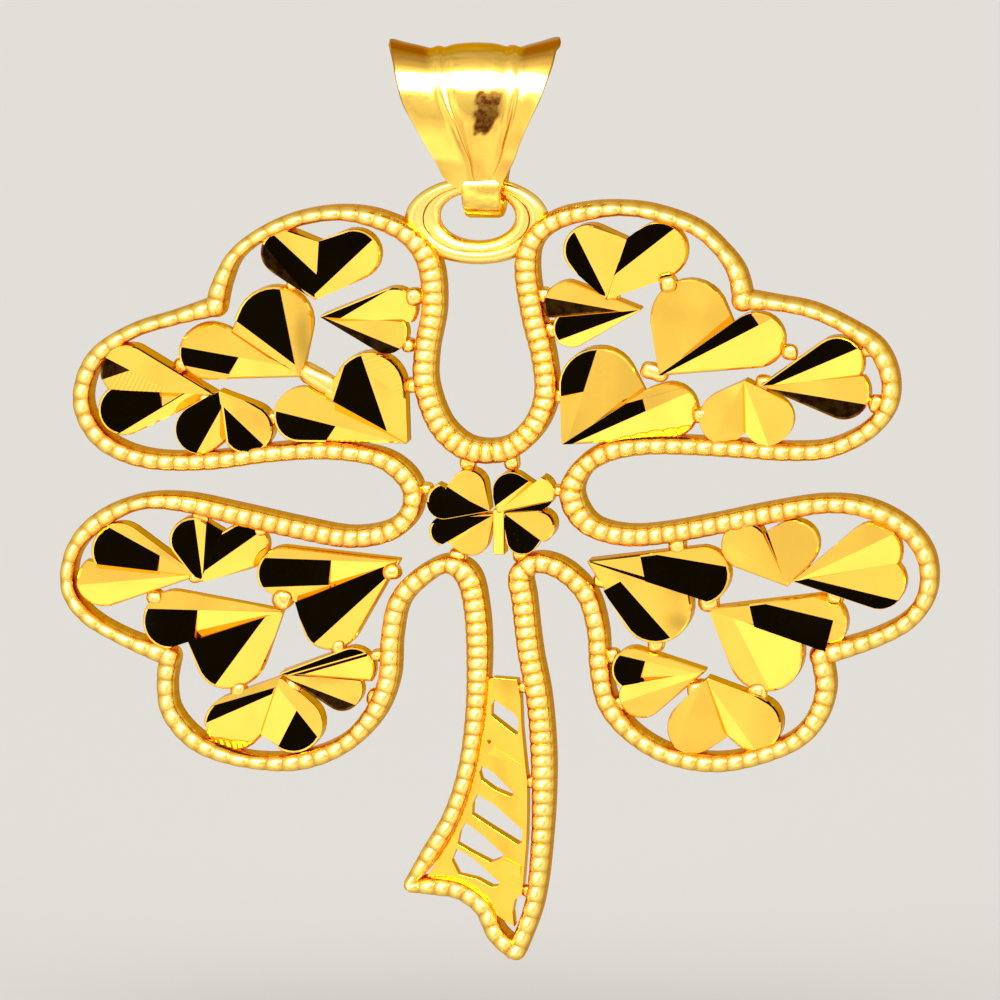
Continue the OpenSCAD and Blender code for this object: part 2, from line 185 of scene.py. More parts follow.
@dataclass(frozen=True)
class GoldFinish:
    """Yellow gold of high carat, with the marks of one way of working it.

    Every finish is the same metal: what differs is how rough it is left, how far the surface waves, and
    which colours stand for painted shade in its hollows and for painted darkness on its dark patches.
    """

    name: str
    colour: str = "#FFC943"
    # Colour of the shade painted in hollows and on shaded sides
    painted_shade_colour: str = "#D08A1C"
    edge_colour: str = "#FFCB5A"
    roughness: float = 0.2
    roughness_spread: float = 0.06
    wave_mm: float = 1.6
    wave_height: float = 0.004
    grain_mm: float = 0.12
    grain_height: float = 0.0
    line_mm: float = 0.1
    line_height: float = 0.0
    patch_mm: float = 0.3
    # Colour and roughness of painted darkness: shade on brown facets and the camera's reflection on the bail
    painted_dark_colour: str = "#4A2108"
    painted_dark_roughness: float = 0.34

    def build(self) -> bpy.types.Material:
        """Makes the material, from Object coordinates, the attributes of the tool lines and two attributes of
        painted light: painted shade in hollows and on shaded sides, and painted darkness on brown facets and
        on the bail's reflection of the camera.

        Returns:
            The new material.
        """
        made = bpy.data.materials.new(self.name)
        made.use_nodes = True
        tree = made.node_tree
        tree.nodes.clear()
        place = add_node(tree, "ShaderNodeTexCoord").outputs["Object"]
        # Slow waves of hand polishing, which bend the reflections a little, fine grain of the metal's skin,
        # and patches that speckle the painted darkness
        waves, grain, patches = (
            add_node(tree, "ShaderNodeTexNoise", {
                "Vector": place, "Scale": 1 / (size * MM), "Detail": detail,
                "Roughness": coarse}).outputs["Fac"]
            for size, detail, coarse in (
                (self.wave_mm, 1.0, 0.4), (self.grain_mm, 3.0, 0.6), (self.patch_mm, 2.0, 0.7)))
        # Painted light: one mark paints shade into the wire's valleys and sides, the eyelet's step and the
        # bail's scoops and foot; the other paints darkness on the brown facets and on the bail's patch, a
        # reflection of the camera
        painted_dark, painted_shade = (add_node(tree, "ShaderNodeAttribute", attribute_name=mark).outputs["Fac"]
                        for mark in ("painted_dark", "painted_shade"))
        specks = add_node(tree, "ShaderNodeMapRange", {
            0: patches, 1: 0.4, 2: 0.66, 3: 1.0, 4: 0.85}, clamp=True).outputs[0]
        painted_dark_amount = add_node(tree, "ShaderNodeMath", {0: painted_dark, 1: specks}, operation="MULTIPLY").outputs[0]
        gold = add_node(tree, "ShaderNodeMix", {
            0: painted_shade, 6: linear(self.colour), 7: linear(self.painted_shade_colour)}, data_type="RGBA").outputs[2]
        shade = add_node(tree, "ShaderNodeMix", {
            0: painted_dark_amount, 6: gold, 7: linear(self.painted_dark_colour)}, data_type="RGBA").outputs[2]
        rough = add_node(tree, "ShaderNodeMapRange", {
            0: grain, 1: 0.3, 2: 0.7,
            3: self.roughness - self.roughness_spread, 4: self.roughness + self.roughness_spread}).outputs[0]
        rough_painted_dark = add_node(tree, "ShaderNodeMix", {
            0: painted_dark_amount, 2: rough, 3: self.painted_dark_roughness}, data_type="FLOAT").outputs[0]
        reliefs = [(self.wave_height, waves), (self.grain_height, grain)]
        if self.line_height:
            # Parallel lines of the cutting tool; the attribute along gives the millimetres across them
            along, lined = (add_node(tree, "ShaderNodeAttribute", attribute_name=mark).outputs["Fac"]
                            for mark in ("along", "lined"))
            waver = add_node(tree, "ShaderNodeMath", {
                0: waves, 1: self.line_mm, 2: along}, operation="MULTIPLY_ADD").outputs[0]
            phase = add_node(tree, "ShaderNodeMath", {
                0: waver, 1: 2 * math.pi / self.line_mm}, operation="MULTIPLY").outputs[0]
            lines = add_node(tree, "ShaderNodeMath", {0: phase}, operation="SINE").outputs[0]
            reliefs.append((self.line_height, add_node(
                tree, "ShaderNodeMath", {0: lines, 1: lined}, operation="MULTIPLY").outputs[0]))
        normal = {}
        for height, pattern in reliefs:
            if height:
                bump = add_node(tree, "ShaderNodeBump", {
                    "Strength": 1.0, "Distance": height * MM, "Height": pattern, **normal})
                normal = {"Normal": bump.outputs[0]}
        shader = add_node(tree, "ShaderNodeBsdfPrincipled", {
            "Base Color": shade, "Metallic": 1.0, "Roughness": rough_painted_dark, **normal,
            "Specular Tint": linear(self.edge_colour)})
        add_node(tree, "ShaderNodeOutputMaterial", {"Surface": shader.outputs[0]})
        return made


# Mirror facets of a diamond cutter: nearly no roughness, a slow curve that shades each facet, and faint
# tool lines where a facet is marked. Brown facets are painted dark brown, a painted shade
DIAMOND_CUT = GoldFinish("diamond_cut_yellow_gold", colour="#FFCA50", roughness=0.07, roughness_spread=0.03,
                         wave_mm=2.6, wave_height=0.08, line_mm=0.14, line_height=0.0011)
# Milled ridges, tumbled after soldering: a soft sheen with a wide highlight on every ridge, and the
# milling wheel's fine lines on the sides. Its second colour is painted shade in the valleys between the
# ridges and on the wire's sides
MILLED = GoldFinish("milled_and_tumbled_yellow_gold", colour="#FFD66C", painted_shade_colour="#DC9428",
                    roughness=0.24, roughness_spread=0.05, wave_mm=0.9, wave_height=0.02, grain_mm=0.08,
                    grain_height=0.003, line_mm=0.14, line_height=0.008)
# Cast parts, softly polished: small dents and a skin that stays a little rough. Its dark brown is
# painted shade in the eyelet's step
CAST = GoldFinish("cast_yellow_gold", colour="#FFD873", painted_shade_colour="#7A3F10", roughness=0.2,
                  roughness_spread=0.07, wave_mm=0.6, wave_height=0.02, grain_mm=0.07, grain_height=0.003)
# Sheet pierced with a saw and polished: a nearly even mirror
PIERCED = GoldFinish("pierced_and_polished_yellow_gold", colour="#FFC848", roughness=0.13,
                     roughness_spread=0.03, wave_mm=2.4, wave_height=0.08)
# Rolled sheet, pressed and burnished by hand: long soft reflections, painted shade in the scoops, where
# they mirror the dark above, and at the foot, and a dark patch that is a painted reflection of the camera
BURNISHED = GoldFinish("pressed_and_burnished_yellow_gold", colour="#FFD05C", painted_shade_colour="#B4600F",
                       roughness=0.14, roughness_spread=0.04, wave_mm=1.1, wave_height=0.035,
                       grain_mm=0.09, grain_height=0.002, patch_mm=0.26)


# Mesh tools
def clamped(value: float) -> float:
    """Limits a value to the range from 0 to 1."""
    return min(max(value, 0.0), 1.0)


def move_into(bm: bmesh.types.BMesh, part: bmesh.types.BMesh) -> None:
    """Adds a mesh to another one and frees it.

    Args:
        bm: the mesh it is added to.
        part: the mesh that is added.
    """
    keep = bpy.data.meshes.new("part")
    part.to_mesh(keep)
    part.free()
    bm.from_mesh(keep)
    bpy.data.meshes.remove(keep)


def shaped_grid(bm: bmesh.types.BMesh, rows: int, columns: int, place: Place, round_shut: bool = False,
                marks: dict[str, Mark] | None = None) -> list:
    """Adds a grid of points and moves each one to its place.

    Args:
        bm: the mesh it is added to.
        rows: points along the first direction.
        columns: points along the second direction.
        place: gives the point for a row and a column number.
        round_shut: whether the last column is joined to the first one.
        marks: by attribute name, the value for a row and a column number.
    Returns:
        The grid's points.
    """
    layers = [(bm.verts.layers.float.get(name) or bm.verts.layers.float.new(name), mark)
              for name, mark in (marks or {}).items()]
    points = bmesh.ops.create_grid(bm, x_segments=columns - 1, y_segments=rows - 1, size=1.0)["verts"]
    numbered = {}
    for point in points:
        i = round((point.co.y + 1) / 2 * (rows - 1))
        j = round((point.co.x + 1) / 2 * (columns - 1))
        numbered[i, j] = point
        point.co = place(i, j)
        for layer, mark in layers:
            point[layer] = mark(i, j)
    if round_shut:
        bmesh.ops.weld_verts(bm, targetmap={numbered[i, columns - 1]: numbered[i, 0] for i in range(rows)})
    return [p for p in points if p.is_valid]


def close_and_turn_out(bm: bmesh.types.BMesh) -> None:
    """Closes open ends with a face and points all faces outwards.

    Args:
        bm: the mesh.
    """
    ends = [e for e in bm.edges if e.is_boundary]
    if ends:
        bmesh.ops.holes_fill(bm, edges=ends, sides=0)
    bmesh.ops.recalc_face_normals(bm, faces=bm.faces)


def curve_point(rows: Sequence[Row], at: float) -> list[float]:
    """Point on the smooth curve through the rows of a table.

    Args:
        rows: the table, one point a row.
        at: row number with its fraction.
    Returns:
        The columns' values there.
    """
    last = len(rows) - 1
    i = min(max(int(at), 0), last - 1)
    t = at - i
    a, b, c, d = rows[max(i - 1, 0)], rows[i], rows[i + 1], rows[min(i + 2, last)]
    return [
        0.5 * (2 * q + (r - p) * t + (2 * p - 5 * q + 4 * r - s) * t * t + (3 * q - p - 3 * r + s) * t ** 3)
        for p, q, r, s in zip(a, b, c, d)
    ]


def finish_piece(bm: bmesh.types.BMesh, name: str, body: str, finish: bpy.types.Material,
                 drawn: bool = True) -> bpy.types.Object:
    """Turns a mesh in millimetres into a finished piece of the pendant.

    Args:
        bm: the mesh, which is freed.
        name: the piece's name.
        body: the CAD body it rides on, which is also the node it stands for.
        finish: its material.
        drawn: whether its x and z are the drawing's, as the camera sees them.
    Returns:
        The new object.
    """
    if drawn:
        for vert in bm.verts:
            seen = CAMERA.on_pendant(vert.co.x, vert.co.z)
            vert.co = (seen.x, vert.co.y, seen.z)
    bmesh.ops.scale(bm, vec=(MM, MM, MM), verts=bm.verts)
    mesh = bpy.data.meshes.new(name)
    bm.to_mesh(mesh)
    bm.free()
    mesh.materials.append(finish)
    piece = bpy.data.objects.new(name, mesh)
    bpy.context.scene.collection.objects.link(piece)
    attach(piece, body)
    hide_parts(body)
    triangles = sum(len(f.vertices) - 2 for f in mesh.polygons)
    LOG.info("%s: %d triangles on %s", name, triangles, body)
    return piece


def smooth_faces(bm: bmesh.types.BMesh, angle: float = 40.0) -> None:
    """Shades all faces smooth, apart from sharp edges.

    Args:
        bm: the mesh.
        angle: degrees past which an edge is sharp.
    """
    for face in bm.faces:
        face.smooth = True
    for edge in bm.edges:
        edge.smooth = edge.calc_face_angle(0.0) < math.radians(angle)


# Wire
# Widths as a share of the wire's own, judged: thin over the leaves' outer tops, thick at the throats
# and the stem
THIN, LIGHT, PLAIN, THICK, POINT = 0.62, 0.76, 0.86, 1.0, 0.5
# The route is the one that part.scad has
UPPER_RUN = [
    (-8.9, -8.3, PLAIN), (-8.7, -7.55, LIGHT), (-8.25, -6.65, THIN), (-7.35, -5.95, THIN),
    (-6.15, -5.45, THIN), (-4.8, -5.25, THIN), (-3.55, -5.45, LIGHT), (-2.45, -6, PLAIN),
    (-1.8, -6.9, THICK), (-1.65, -8.35, THICK), (-1.9, -9.85, THICK), (-1.9, -11, THICK),
    (-1.45, -12.25, THICK), (-0.7, -13, THICK), (0.15, -13.2, THICK), (1, -13, THICK),
    (1.75, -12.25, THICK), (2.1, -11.25, THICK), (2, -10, THICK), (1.65, -8.55, THICK), (1.45, -7, THICK),
    (1.7, -6.1, PLAIN), (2.4, -5.5, PLAIN), (3.45, -5.2, LIGHT), (4.6, -5.1, THIN), (5.75, -5.25, THIN),
    (7.1, -5.75, THIN), (7.95, -6.5, THIN), (8.45, -7.25, LIGHT), (8.65, -8.15, PLAIN),
]
RIGHT_RUN = [
    (8.65, -8.15, PLAIN), (9.7, -8.25, THIN), (10.95, -8.5, THIN), (12.15, -9.05, THIN),
    (13.1, -9.75, LIGHT), (13.55, -10.75, LIGHT), (13.45, -11.75, LIGHT), (12.75, -12.55, LIGHT),
    (11.55, -13.1, LIGHT), (10.2, -13.2, LIGHT), (8.55, -13.1, LIGHT), (6.85, -13, LIGHT),
    (5.35, -13, LIGHT), (4.15, -13.2, PLAIN), (3.35, -13.7, PLAIN), (2.95, -14.45, THICK),
    (3.15, -15.2, THICK), (3.75, -15.75, PLAIN), (4.85, -16, PLAIN), (6.2, -15.9, PLAIN),
    (7.85, -15.6, PLAIN), (9.55, -15.25, PLAIN), (11.35, -14.95, LIGHT), (12.8, -15.1, LIGHT),
    (14.05, -15.75, LIGHT), (14.75, -16.7, LIGHT), (14.8, -17.85, LIGHT), (14.25, -18.75, LIGHT),
    (13.1, -19.4, LIGHT), (11.25, -20, PLAIN),
]
LOWER_RIGHT_RUN = [
    (11.25, -20, PLAIN), (11.4, -21.15, PLAIN), (10.95, -22.3, PLAIN), (9.95, -23.05, LIGHT),
    (8.05, -23.55, LIGHT), (6.35, -23.35, LIGHT), (5.05, -22.65, LIGHT), (4.2, -21.65, PLAIN),
    (3.9, -20.45, PLAIN), (3.8, -19.1, PLAIN), (3.45, -17.95, PLAIN), (2.65, -17.15, PLAIN),
    (1.8, -16.9, PLAIN), (1.25, -17.3, THICK), (1.35, -18.15, THICK), (1.55, -19.85, THICK),
    (1.85, -21.5, THICK), (2, -23.65, THICK), (1.95, -26, PLAIN), (1.7, -28.2, LIGHT), (1.1, -29.85, LIGHT),
]
STEM_FOOT_RUN = [
    (1.1, -29.85, LIGHT), (0.45, -29.25, LIGHT), (0, -28.35, LIGHT), (-0.75, -27.8, LIGHT),
    (-1.6, -27.65, LIGHT), (-2.45, -27.65, POINT),
]
LOWER_LEFT_RUN = [
    (-2.45, -27.6, POINT), (-1.75, -26.55, LIGHT), (-1.05, -25.35, LIGHT), (-0.55, -23.85, LIGHT),
    (-0.25, -22, PLAIN), (-0.15, -20, THICK), (-0.25, -18.35, THICK), (-0.55, -17.3, THICK),
    (-1.25, -16.95, LIGHT), (-2.15, -17.45, PLAIN), (-2.8, -18.2, PLAIN), (-3.05, -19.35, PLAIN),
    (-3.15, -20.75, PLAIN), (-3.65, -21.95, PLAIN), (-4.65, -22.95, LIGHT), (-6.15, -23.5, LIGHT),
    (-7.95, -23.45, THIN), (-9.45, -22.9, LIGHT), (-10.35, -21.95, LIGHT), (-10.55, -21, LIGHT),
    (-10.45, -20.05, PLAIN),
]
LEFT_RUN = [
    (-10.45, -20, PLAIN), (-11.95, -19.4, THIN), (-13.2, -18.65, THIN), (-13.8, -17.7, THIN),
    (-13.65, -16.5, THIN), (-12.85, -15.55, LIGHT), (-11.45, -14.9, THIN), (-9.95, -14.9, LIGHT),
    (-8.15, -15.3, PLAIN), (-6.15, -15.75, PLAIN), (-4.45, -16.05, PLAIN), (-3.15, -15.85, PLAIN),
    (-2.45, -15.25, PLAIN), (-2.35, -14.45, PLAIN), (-2.8, -13.8, PLAIN), (-3.65, -13.35, LIGHT),
    (-5.3, -13.15, LIGHT), (-7.15, -13.25, LIGHT), (-9.15, -13.5, LIGHT), (-11.15, -13.45, LIGHT),
    (-12.55, -12.9, LIGHT), (-13.25, -11.95, LIGHT), (-13.3, -10.95, LIGHT), (-12.8, -9.95, LIGHT),
    (-11.7, -9.2, THIN), (-10.3, -8.75, THIN), (-8.9, -8.35, PLAIN),
]
CORNERS = [
    (-8.9, -8.33, THICK), (8.65, -8.15, THICK), (11.25, -20, THICK), (1.1, -29.85, LIGHT),
    (-2.45, -27.63, POINT), (-10.45, -20.02, THICK),
]


@dataclass
class OutlineWire:
    """Ridged wire round the leaves and the stem, in six runs that meet at sharp corners.

    A run's table has the columns x, z and width as a share of the wire's width. The section's table has
    the columns across as a share of the width, depth as a share of the depth, and how deep the valleys
    between the ridges cut there. The shades are how much shade is painted on a crest and in a valley.
    """

    width: float = 0.78
    depth: float = 1.3
    pitch: float = 0.39
    valley: float = 0.13
    valley_sharpness: float = 2.4
    valley_narrows: float = 0.35
    mill_mean: float = 0.9
    mill_scatter: float = 0.35
    mill_waves: float = 1.7
    least_share: float = 0.55
    rings_a_ridge: int = 10
    back_step: float = 0.008
    corner_width: float = 0.52
    corner_depth: float = 0.47
    side_from: float = -0.2
    front_shades: tuple = (0.0, 0.6)
    side_shades: tuple = (0.6, 0.8)
    runs: tuple = (UPPER_RUN, RIGHT_RUN, LOWER_RIGHT_RUN, STEM_FOOT_RUN, LOWER_LEFT_RUN, LEFT_RUN)
    section: tuple = (
        (-0.5, -0.16, 0.5), (-0.485, -0.3, 0.8), (-0.41, -0.4, 1), (-0.26, -0.465, 1), (-0.09, -0.495, 1),
        (0.09, -0.495, 1), (0.26, -0.465, 1), (0.41, -0.4, 1), (0.485, -0.3, 0.8), (0.5, -0.16, 0.5),
        (0.5, 0.1, 0.35), (0.5, 0.38, 0.1), (0.42, 0.49, 0), (-0.42, 0.49, 0), (-0.5, 0.38, 0.1),
        (-0.5, 0.1, 0.35),
    )

    def ring_places(self, rows: Sequence[Row]) -> list[tuple[float, float]]:
        """Spreads whole ridges over a run.

        Args:
            rows: the run's table.
        Returns:
            Pairs of the row number with its fraction and the place within the ridges, one a ring.
        """
        fine = 40
        total = (len(rows) - 1) * fine
        points = [curve_point(rows, n / fine) for n in range(total + 1)]
        ridges = [0.0]
        for p, q in zip(points, points[1:]):
            step = math.hypot(q[0] - p[0], q[1] - p[1])
            ridges.append(ridges[-1] + step * max(self.least_share, (p[2] + q[2]) / 2) / self.pitch)
        count = max(1, round(ridges[-1]))
        scale = ridges[-1] / count
        places, n = [], 0
        for k in range(count * self.rings_a_ridge + 1):
            want = k / self.rings_a_ridge * scale
            while n < total - 1 and ridges[n + 1] < want:
                n += 1
            share = (want - ridges[n]) / max(ridges[n + 1] - ridges[n], 1e-9)
            places.append(((n + clamped(share)) / fine, k / self.rings_a_ridge))
        return places

    def add_run(self, bm: bmesh.types.BMesh, rows: Sequence[Row], back: float) -> None:
        """Adds one run, a grid rolled into a ridged tube.

        Args:
            bm: the mesh it is added to.
            rows: the run's table.
            back: millimetres that it lies further back.
        """
        places = self.ring_places(rows)
        sides = len(self.section)
        frames = []
        for at, ridge in places:
            here = curve_point(rows, at)
            before = curve_point(rows, max(at - 0.05, 0.0))
            ahead = curve_point(rows, min(at + 0.05, len(rows) - 1.0))
            way = Vector((ahead[0] - before[0], 0.0, ahead[1] - before[1])).normalized()
            # A ridge is a broad crest with a sharp valley on each side, a little uneven from the mill
            spot = Vector((here[0] * self.mill_waves, 0.0, here[1] * self.mill_waves))
            uneven = self.mill_mean + self.mill_scatter * noise.noise(spot)
            dip = abs(2 * (ridge - round(ridge))) ** self.valley_sharpness
            frames.append((here, way, dip * self.valley * uneven, dip, ridge * self.pitch))

        def place(i: int, j: int) -> Vector:
            """Point of the ridged skin.

            Args:
                i: number of the ring.
                j: number of the point round it.
            Returns:
                The point.
            """
            here, way, cut = frames[i][:3]
            across, deep, share = self.section[j % sides]
            left = 1 - cut * share
            across *= here[2] * self.width * (1 - cut * share * self.valley_narrows)
            return Vector((here[0] - way.z * across, deep * self.depth * left + back,
                           here[1] + way.x * across))

        def on_side(i: int, j: int) -> float:
            """One on the wire's sides and back, where the mill left lines, and none on its front."""
            return 1.0 if self.section[j % sides][1] > self.side_from else 0.0

        def painted_shade(i: int, j: int) -> float:
            """Painted shade, from the crests to the valleys of a front or a side, darkest in a valley on a
            side.
            """
            crest, valley = self.side_shades if on_side(i, j) else self.front_shades
            return crest + (valley - crest) * frames[i][3]

        shaped_grid(bm, len(places), sides + 1, place, round_shut=True,
                    marks={"painted_shade": painted_shade, "lined": on_side, "along": lambda i, j: frames[i][4]})

    def build(self, finish: bpy.types.Material) -> bpy.types.Object:
        """Builds the wire with a rounded solder joint at each corner.

        Args:
            finish: the wire's material.
        Returns:
            The finished piece.
        """
        whole = bmesh.new()
        # Layers of painted shade, of the mill's lines and of the place along them
        for mark in ("painted_shade", "lined", "along"):
            whole.verts.layers.float.new(mark)
        # Runs that meet don't share the plane of their backs
        for number, rows in enumerate(self.runs):
            bm = bmesh.new()
            self.add_run(bm, rows, self.back_step * (number % 3 - 1))
            close_and_turn_out(bm)
            move_into(whole, bm)
        for x, z, share in CORNERS:
            wide, deep = share * self.width * self.corner_width, self.depth * self.corner_depth
            place = Matrix.Translation((x, 0, z)) @ Matrix.Diagonal((wide, deep, wide, 1))
            bmesh.ops.create_uvsphere(whole, u_segments=16, v_segments=12, radius=1.0, matrix=place)
        smooth_faces(whole, 55)
        return finish_piece(whole, "outline_wire", "clover", finish)


# Hearts
class Tone(Enum):
    """How a facet looks from the front: its tilt from the line of sight in degrees, and its surface, with
    painted shade on the brown facets.
    """

    DARK = (6.0, 0.0, 0.0)
    # Brown facets are painted dark brown: a painted shade on a rougher skin
    BROWN = (9.0, 0.0, 1.0)
    ORANGE = (16.5, 0.0, 0.0)
    GOLD = (18.0, 0.0, 0.0)
    LINED = (18.0, 1.0, 0.0)
    BRIGHT = (22.5, 0.0, 0.0)

    def __init__(self, tilt: float, lined: float, painted_dark: float) -> None:
        """Keeps what the tone stands for.

        Args:
            tilt: degrees from the line of sight.
            lined: 1 where the facet has tool lines.
            painted_dark: 1 where the facet is painted dark brown, a painted shade, and left rough.
        """
        self.tilt = tilt
        self.lined = lined
        self.painted_dark = painted_dark


@dataclass(frozen=True)
class Cut:
    """Line between two facets, in pixels of the photograph, and what lies on each side.

    The sides are those of someone who walks on the photograph from the first point to the second.
    """

    x1: float
    y1: float
    x2: float
    y2: float
    left: "Tone | Cut"
    right: "Tone | Cut"


@dataclass(frozen=True)
class Lobe:
    """Half of a heart: the round at its end, in millimetres, and how it is cut."""

    x: float
    z: float
    r: float
    cut: Cut


@dataclass(frozen=True)
class Cell:
    """Block under one facet: its mesh, tone, ridge direction, normal and its corners' heights."""

    block: bmesh.types.BMesh
    tone: Tone
    way: Vector
    normal: Vector
    heights: list[float]


@dataclass(frozen=True)
class Heart:
    """Heart of two lobes that share a tip, cut into facets.

    Each facet is its own closed cell of the heart, tilted so that it meets the ridge it was cut from. The
    facets of a lobe hang from one ridge at one height, so that they meet there without a step.
    """

    x: float
    z: float
    first: Lobe
    second: Lobe
    front: float = -0.551
    back: float = 0.399
    tip_radius: float = 0.06
    notch_out: float = 0.35
    rim: float = 0.085
    steepest: float = 27.0
    level: float = 6.0
    least_wall: float = 0.3
    back_plate: float = 0.12
    back_step: float = 0.008
    lobe_overlap: float = 0.004
    cell_overlap: float = 0.003
    cut_room: float = 2.0
    rim_share: float = 0.4
    round_slack: float = 0.02
    flank_slack: float = 0.03
    lobe_sides: int = 30
    tip_sides: int = 8

    def add(self, bm: bmesh.types.BMesh) -> None:
        """Adds the heart's cells to a mesh."""
        self.add_lobe(bm, self.first, self.second, self.back + self.back_step)
        self.add_lobe(bm, self.second, self.first, self.back + 2 * self.back_step)

    def add_lobe(self, bm: bmesh.types.BMesh, lobe: Lobe, other: Lobe, behind: float) -> None:
        """Adds one lobe, up to the line from the heart's tip to its notch.

        Args:
            bm: the mesh it is added to.
            lobe: the lobe.
            other: the heart's other lobe.
            behind: y of its plain back, which covers the backs of its cells.
        """
        tip = Vector((self.x, 0, self.z))
        centre = Vector((lobe.x, 0, lobe.z))
        middle = (centre + Vector((other.x, 0, other.z))) / 2
        notch = middle + (middle - tip).normalized() * self.notch_out
        away = (notch - tip).normalized()
        side = Vector((away.z, 0, -away.x))
        if side.dot(centre - tip) < 0:
            side = -side
        limits = [(tip - side * self.lobe_overlap, side)]
        outline = ((centre, lobe.r, self.lobe_sides), (tip, self.tip_radius, self.tip_sides),
                   (notch, self.tip_radius, self.tip_sides))
        ridge = (from_photo(lobe.cut.x1, lobe.cut.y1), from_photo(lobe.cut.x2, lobe.cut.y2))
        cells: list[Cell] = []
        self.add_side(cells, outline, limits, lobe.cut, ridge)
        # The highest corner lies at the heart's front, and the lowest one well before its back
        top = self.front + max(0.0, max(-min(c.heights) for c in cells))
        top -= max(0.0, max(max(c.heights) for c in cells) + top - (self.back - self.least_wall))
        for cell in cells:
            self.cut_front(bm, cell, outline, Vector((ridge[0].x, top, ridge[0].z)))
        plate = self.hull(outline, behind - self.back_plate, behind)
        self.trim(plate, *limits[0])
        move_into(bm, plate)

    def hull(self, outline: tuple, front: float, back: float) -> bmesh.types.BMesh:
        """Makes the closed hull of rounds.

        Args:
            outline: the rounds, as centre, radius and number of sides.
            front: y of its front.
            back: y of its back.
        Returns:
            A new mesh with the layers of a facet.
        """
        block = bmesh.new()
        # Layers of a facet: tool lines, painted shade on brown facets, and the place along the tool lines
        block.faces.layers.float.new("lined")
        block.faces.layers.float.new("painted_dark")
        block.verts.layers.float.new("along")
        turn = Matrix.Rotation(math.pi / 2, 4, "X")
        for centre, radius, sides in outline:
            middle = Vector((centre.x, (front + back) / 2, centre.z))
            bmesh.ops.create_cone(block, cap_ends=True, segments=sides, radius1=radius, radius2=radius,
                                  depth=back - front, matrix=Matrix.Translation(middle) @ turn)
        hull = bmesh.ops.convex_hull(block, input=block.verts)
        inside = {g for g in hull["geom_interior"] + hull["geom_unused"] if isinstance(g, bmesh.types.BMVert)}
        bmesh.ops.delete(block, geom=list(inside), context="VERTS")
        bmesh.ops.dissolve_limit(block, angle_limit=math.radians(1), verts=block.verts, edges=block.edges)
        return block

    def add_side(self, cells: list[Cell], outline: tuple, limits: list, cut: Cut | Tone, ridge: tuple,
                 lean: float = 0.0) -> None:
        """Adds the cells on one side of the cuts so far.

        Args:
            cells: the lobe's cells, which it adds to.
            outline: rounds whose hull is the lobe, as centre, radius and number of sides.
            limits: planes that bound this side, as a point and the direction that is kept.
            cut: the next cut, or the tone of this facet.
            ridge: the two points of the ridge that the facet hangs from.
            lean: 1 where the facet lies on the left of the ridge, and -1 on the right.
        """
        if isinstance(cut, Tone):
            self.add_cell(cells, outline, limits, cut, ridge, lean)
            return
        a, b = from_photo(cut.x1, cut.y1), from_photo(cut.x2, cut.y2)
        way = (b - a).normalized()
        left = Vector((-way.z, 0, way.x))
        for sign, rest in ((1, cut.left), (-1, cut.right)):
            kept = limits + [(a - left * sign * self.cell_overlap, left * sign)]
            self.add_side(cells, outline, kept, rest, ridge, lean or sign)

    def facet_normal(self, across: Vector, way: Vector, tone: Tone) -> Vector:
        """Normal of a facet that leans away from the camera by its tone's angle.

        A facet mirrors the dark round the camera where its normal points to the middle between the line of
        sight and the way to the camera. The ridge it hangs from stays level while that gives the tone.

        Args:
            across: direction from the ridge over the facet, in the pendant's plane.
            way: direction of the ridge.
            tone: the facet's tone.
        Returns:
            A unit vector.
        """
        ahead = Vector((0, -1, 0))
        to_camera = (CAMERA.place() - Vector((self.x, 0, self.z))).normalized()
        view = (CAMERA.sight() + to_camera).normalized()
        along = math.asin(view.dot(way))
        free = math.radians(min(tone.tilt, self.level))
        slope = math.copysign(max(abs(along) - free, 0.0), along)
        nearest = math.atan2(view.dot(across), view.dot(ahead))
        reach = math.hypot(view.dot(across), view.dot(ahead))
        wanted = (math.cos(math.radians(tone.tilt)) - math.sin(along) * math.sin(slope)) / math.cos(slope)
        spread = math.acos(min(1.0, wanted / reach))
        turn = nearest + spread
        if turn > math.radians(self.steepest):
            turn = nearest - spread
        return (ahead * math.cos(turn) + across * math.sin(turn)) * math.cos(slope) + way * math.sin(slope)

    def add_cell(self, cells: list[Cell], outline: tuple, limits: list, tone: Tone, ridge: tuple,
                 lean: float) -> None:
        """Adds one facet's cell, a hull of rounds trimmed at the sides, with its front still uncut.

        Args:
            cells: the lobe's cells, which it adds to.
            outline: rounds whose hull is the lobe.
            limits: planes that bound the cell.
            tone: the facet's tone.
            ridge: the two points of the ridge that the facet hangs from.
            lean: side of the ridge that the facet lies on.
        """
        block = self.hull(outline, self.front - self.cut_room, self.back)
        for point, keep in limits:
            self.trim(block, point, keep)
            if not block.faces:
                block.free()
                return
        a, b = ridge
        way = (b - a).normalized()
        normal = self.facet_normal(Vector((-way.z, 0, way.x)) * lean, way, tone)
        heights = [normal.xz.dot((v.co - a).xz) / -normal.y for v in block.verts]
        cells.append(Cell(block, tone, way, normal, heights))

    def cut_front(self, bm: bmesh.types.BMesh, cell: Cell, outline: tuple, point: Vector) -> None:
        """Cuts a cell's front on its slant, rounds its rim and adds it to the mesh.

        Args:
            bm: the mesh it is added to.
            cell: the cell, whose mesh is freed.
            outline: rounds whose hull is the lobe.
            point: a point of the ridge.
        """
        block = cell.block
        faces = self.trim(block, point, -cell.normal)
        lined, painted_dark = block.faces.layers.float["lined"], block.faces.layers.float["painted_dark"]
        along = block.verts.layers.float["along"]
        for face in faces:
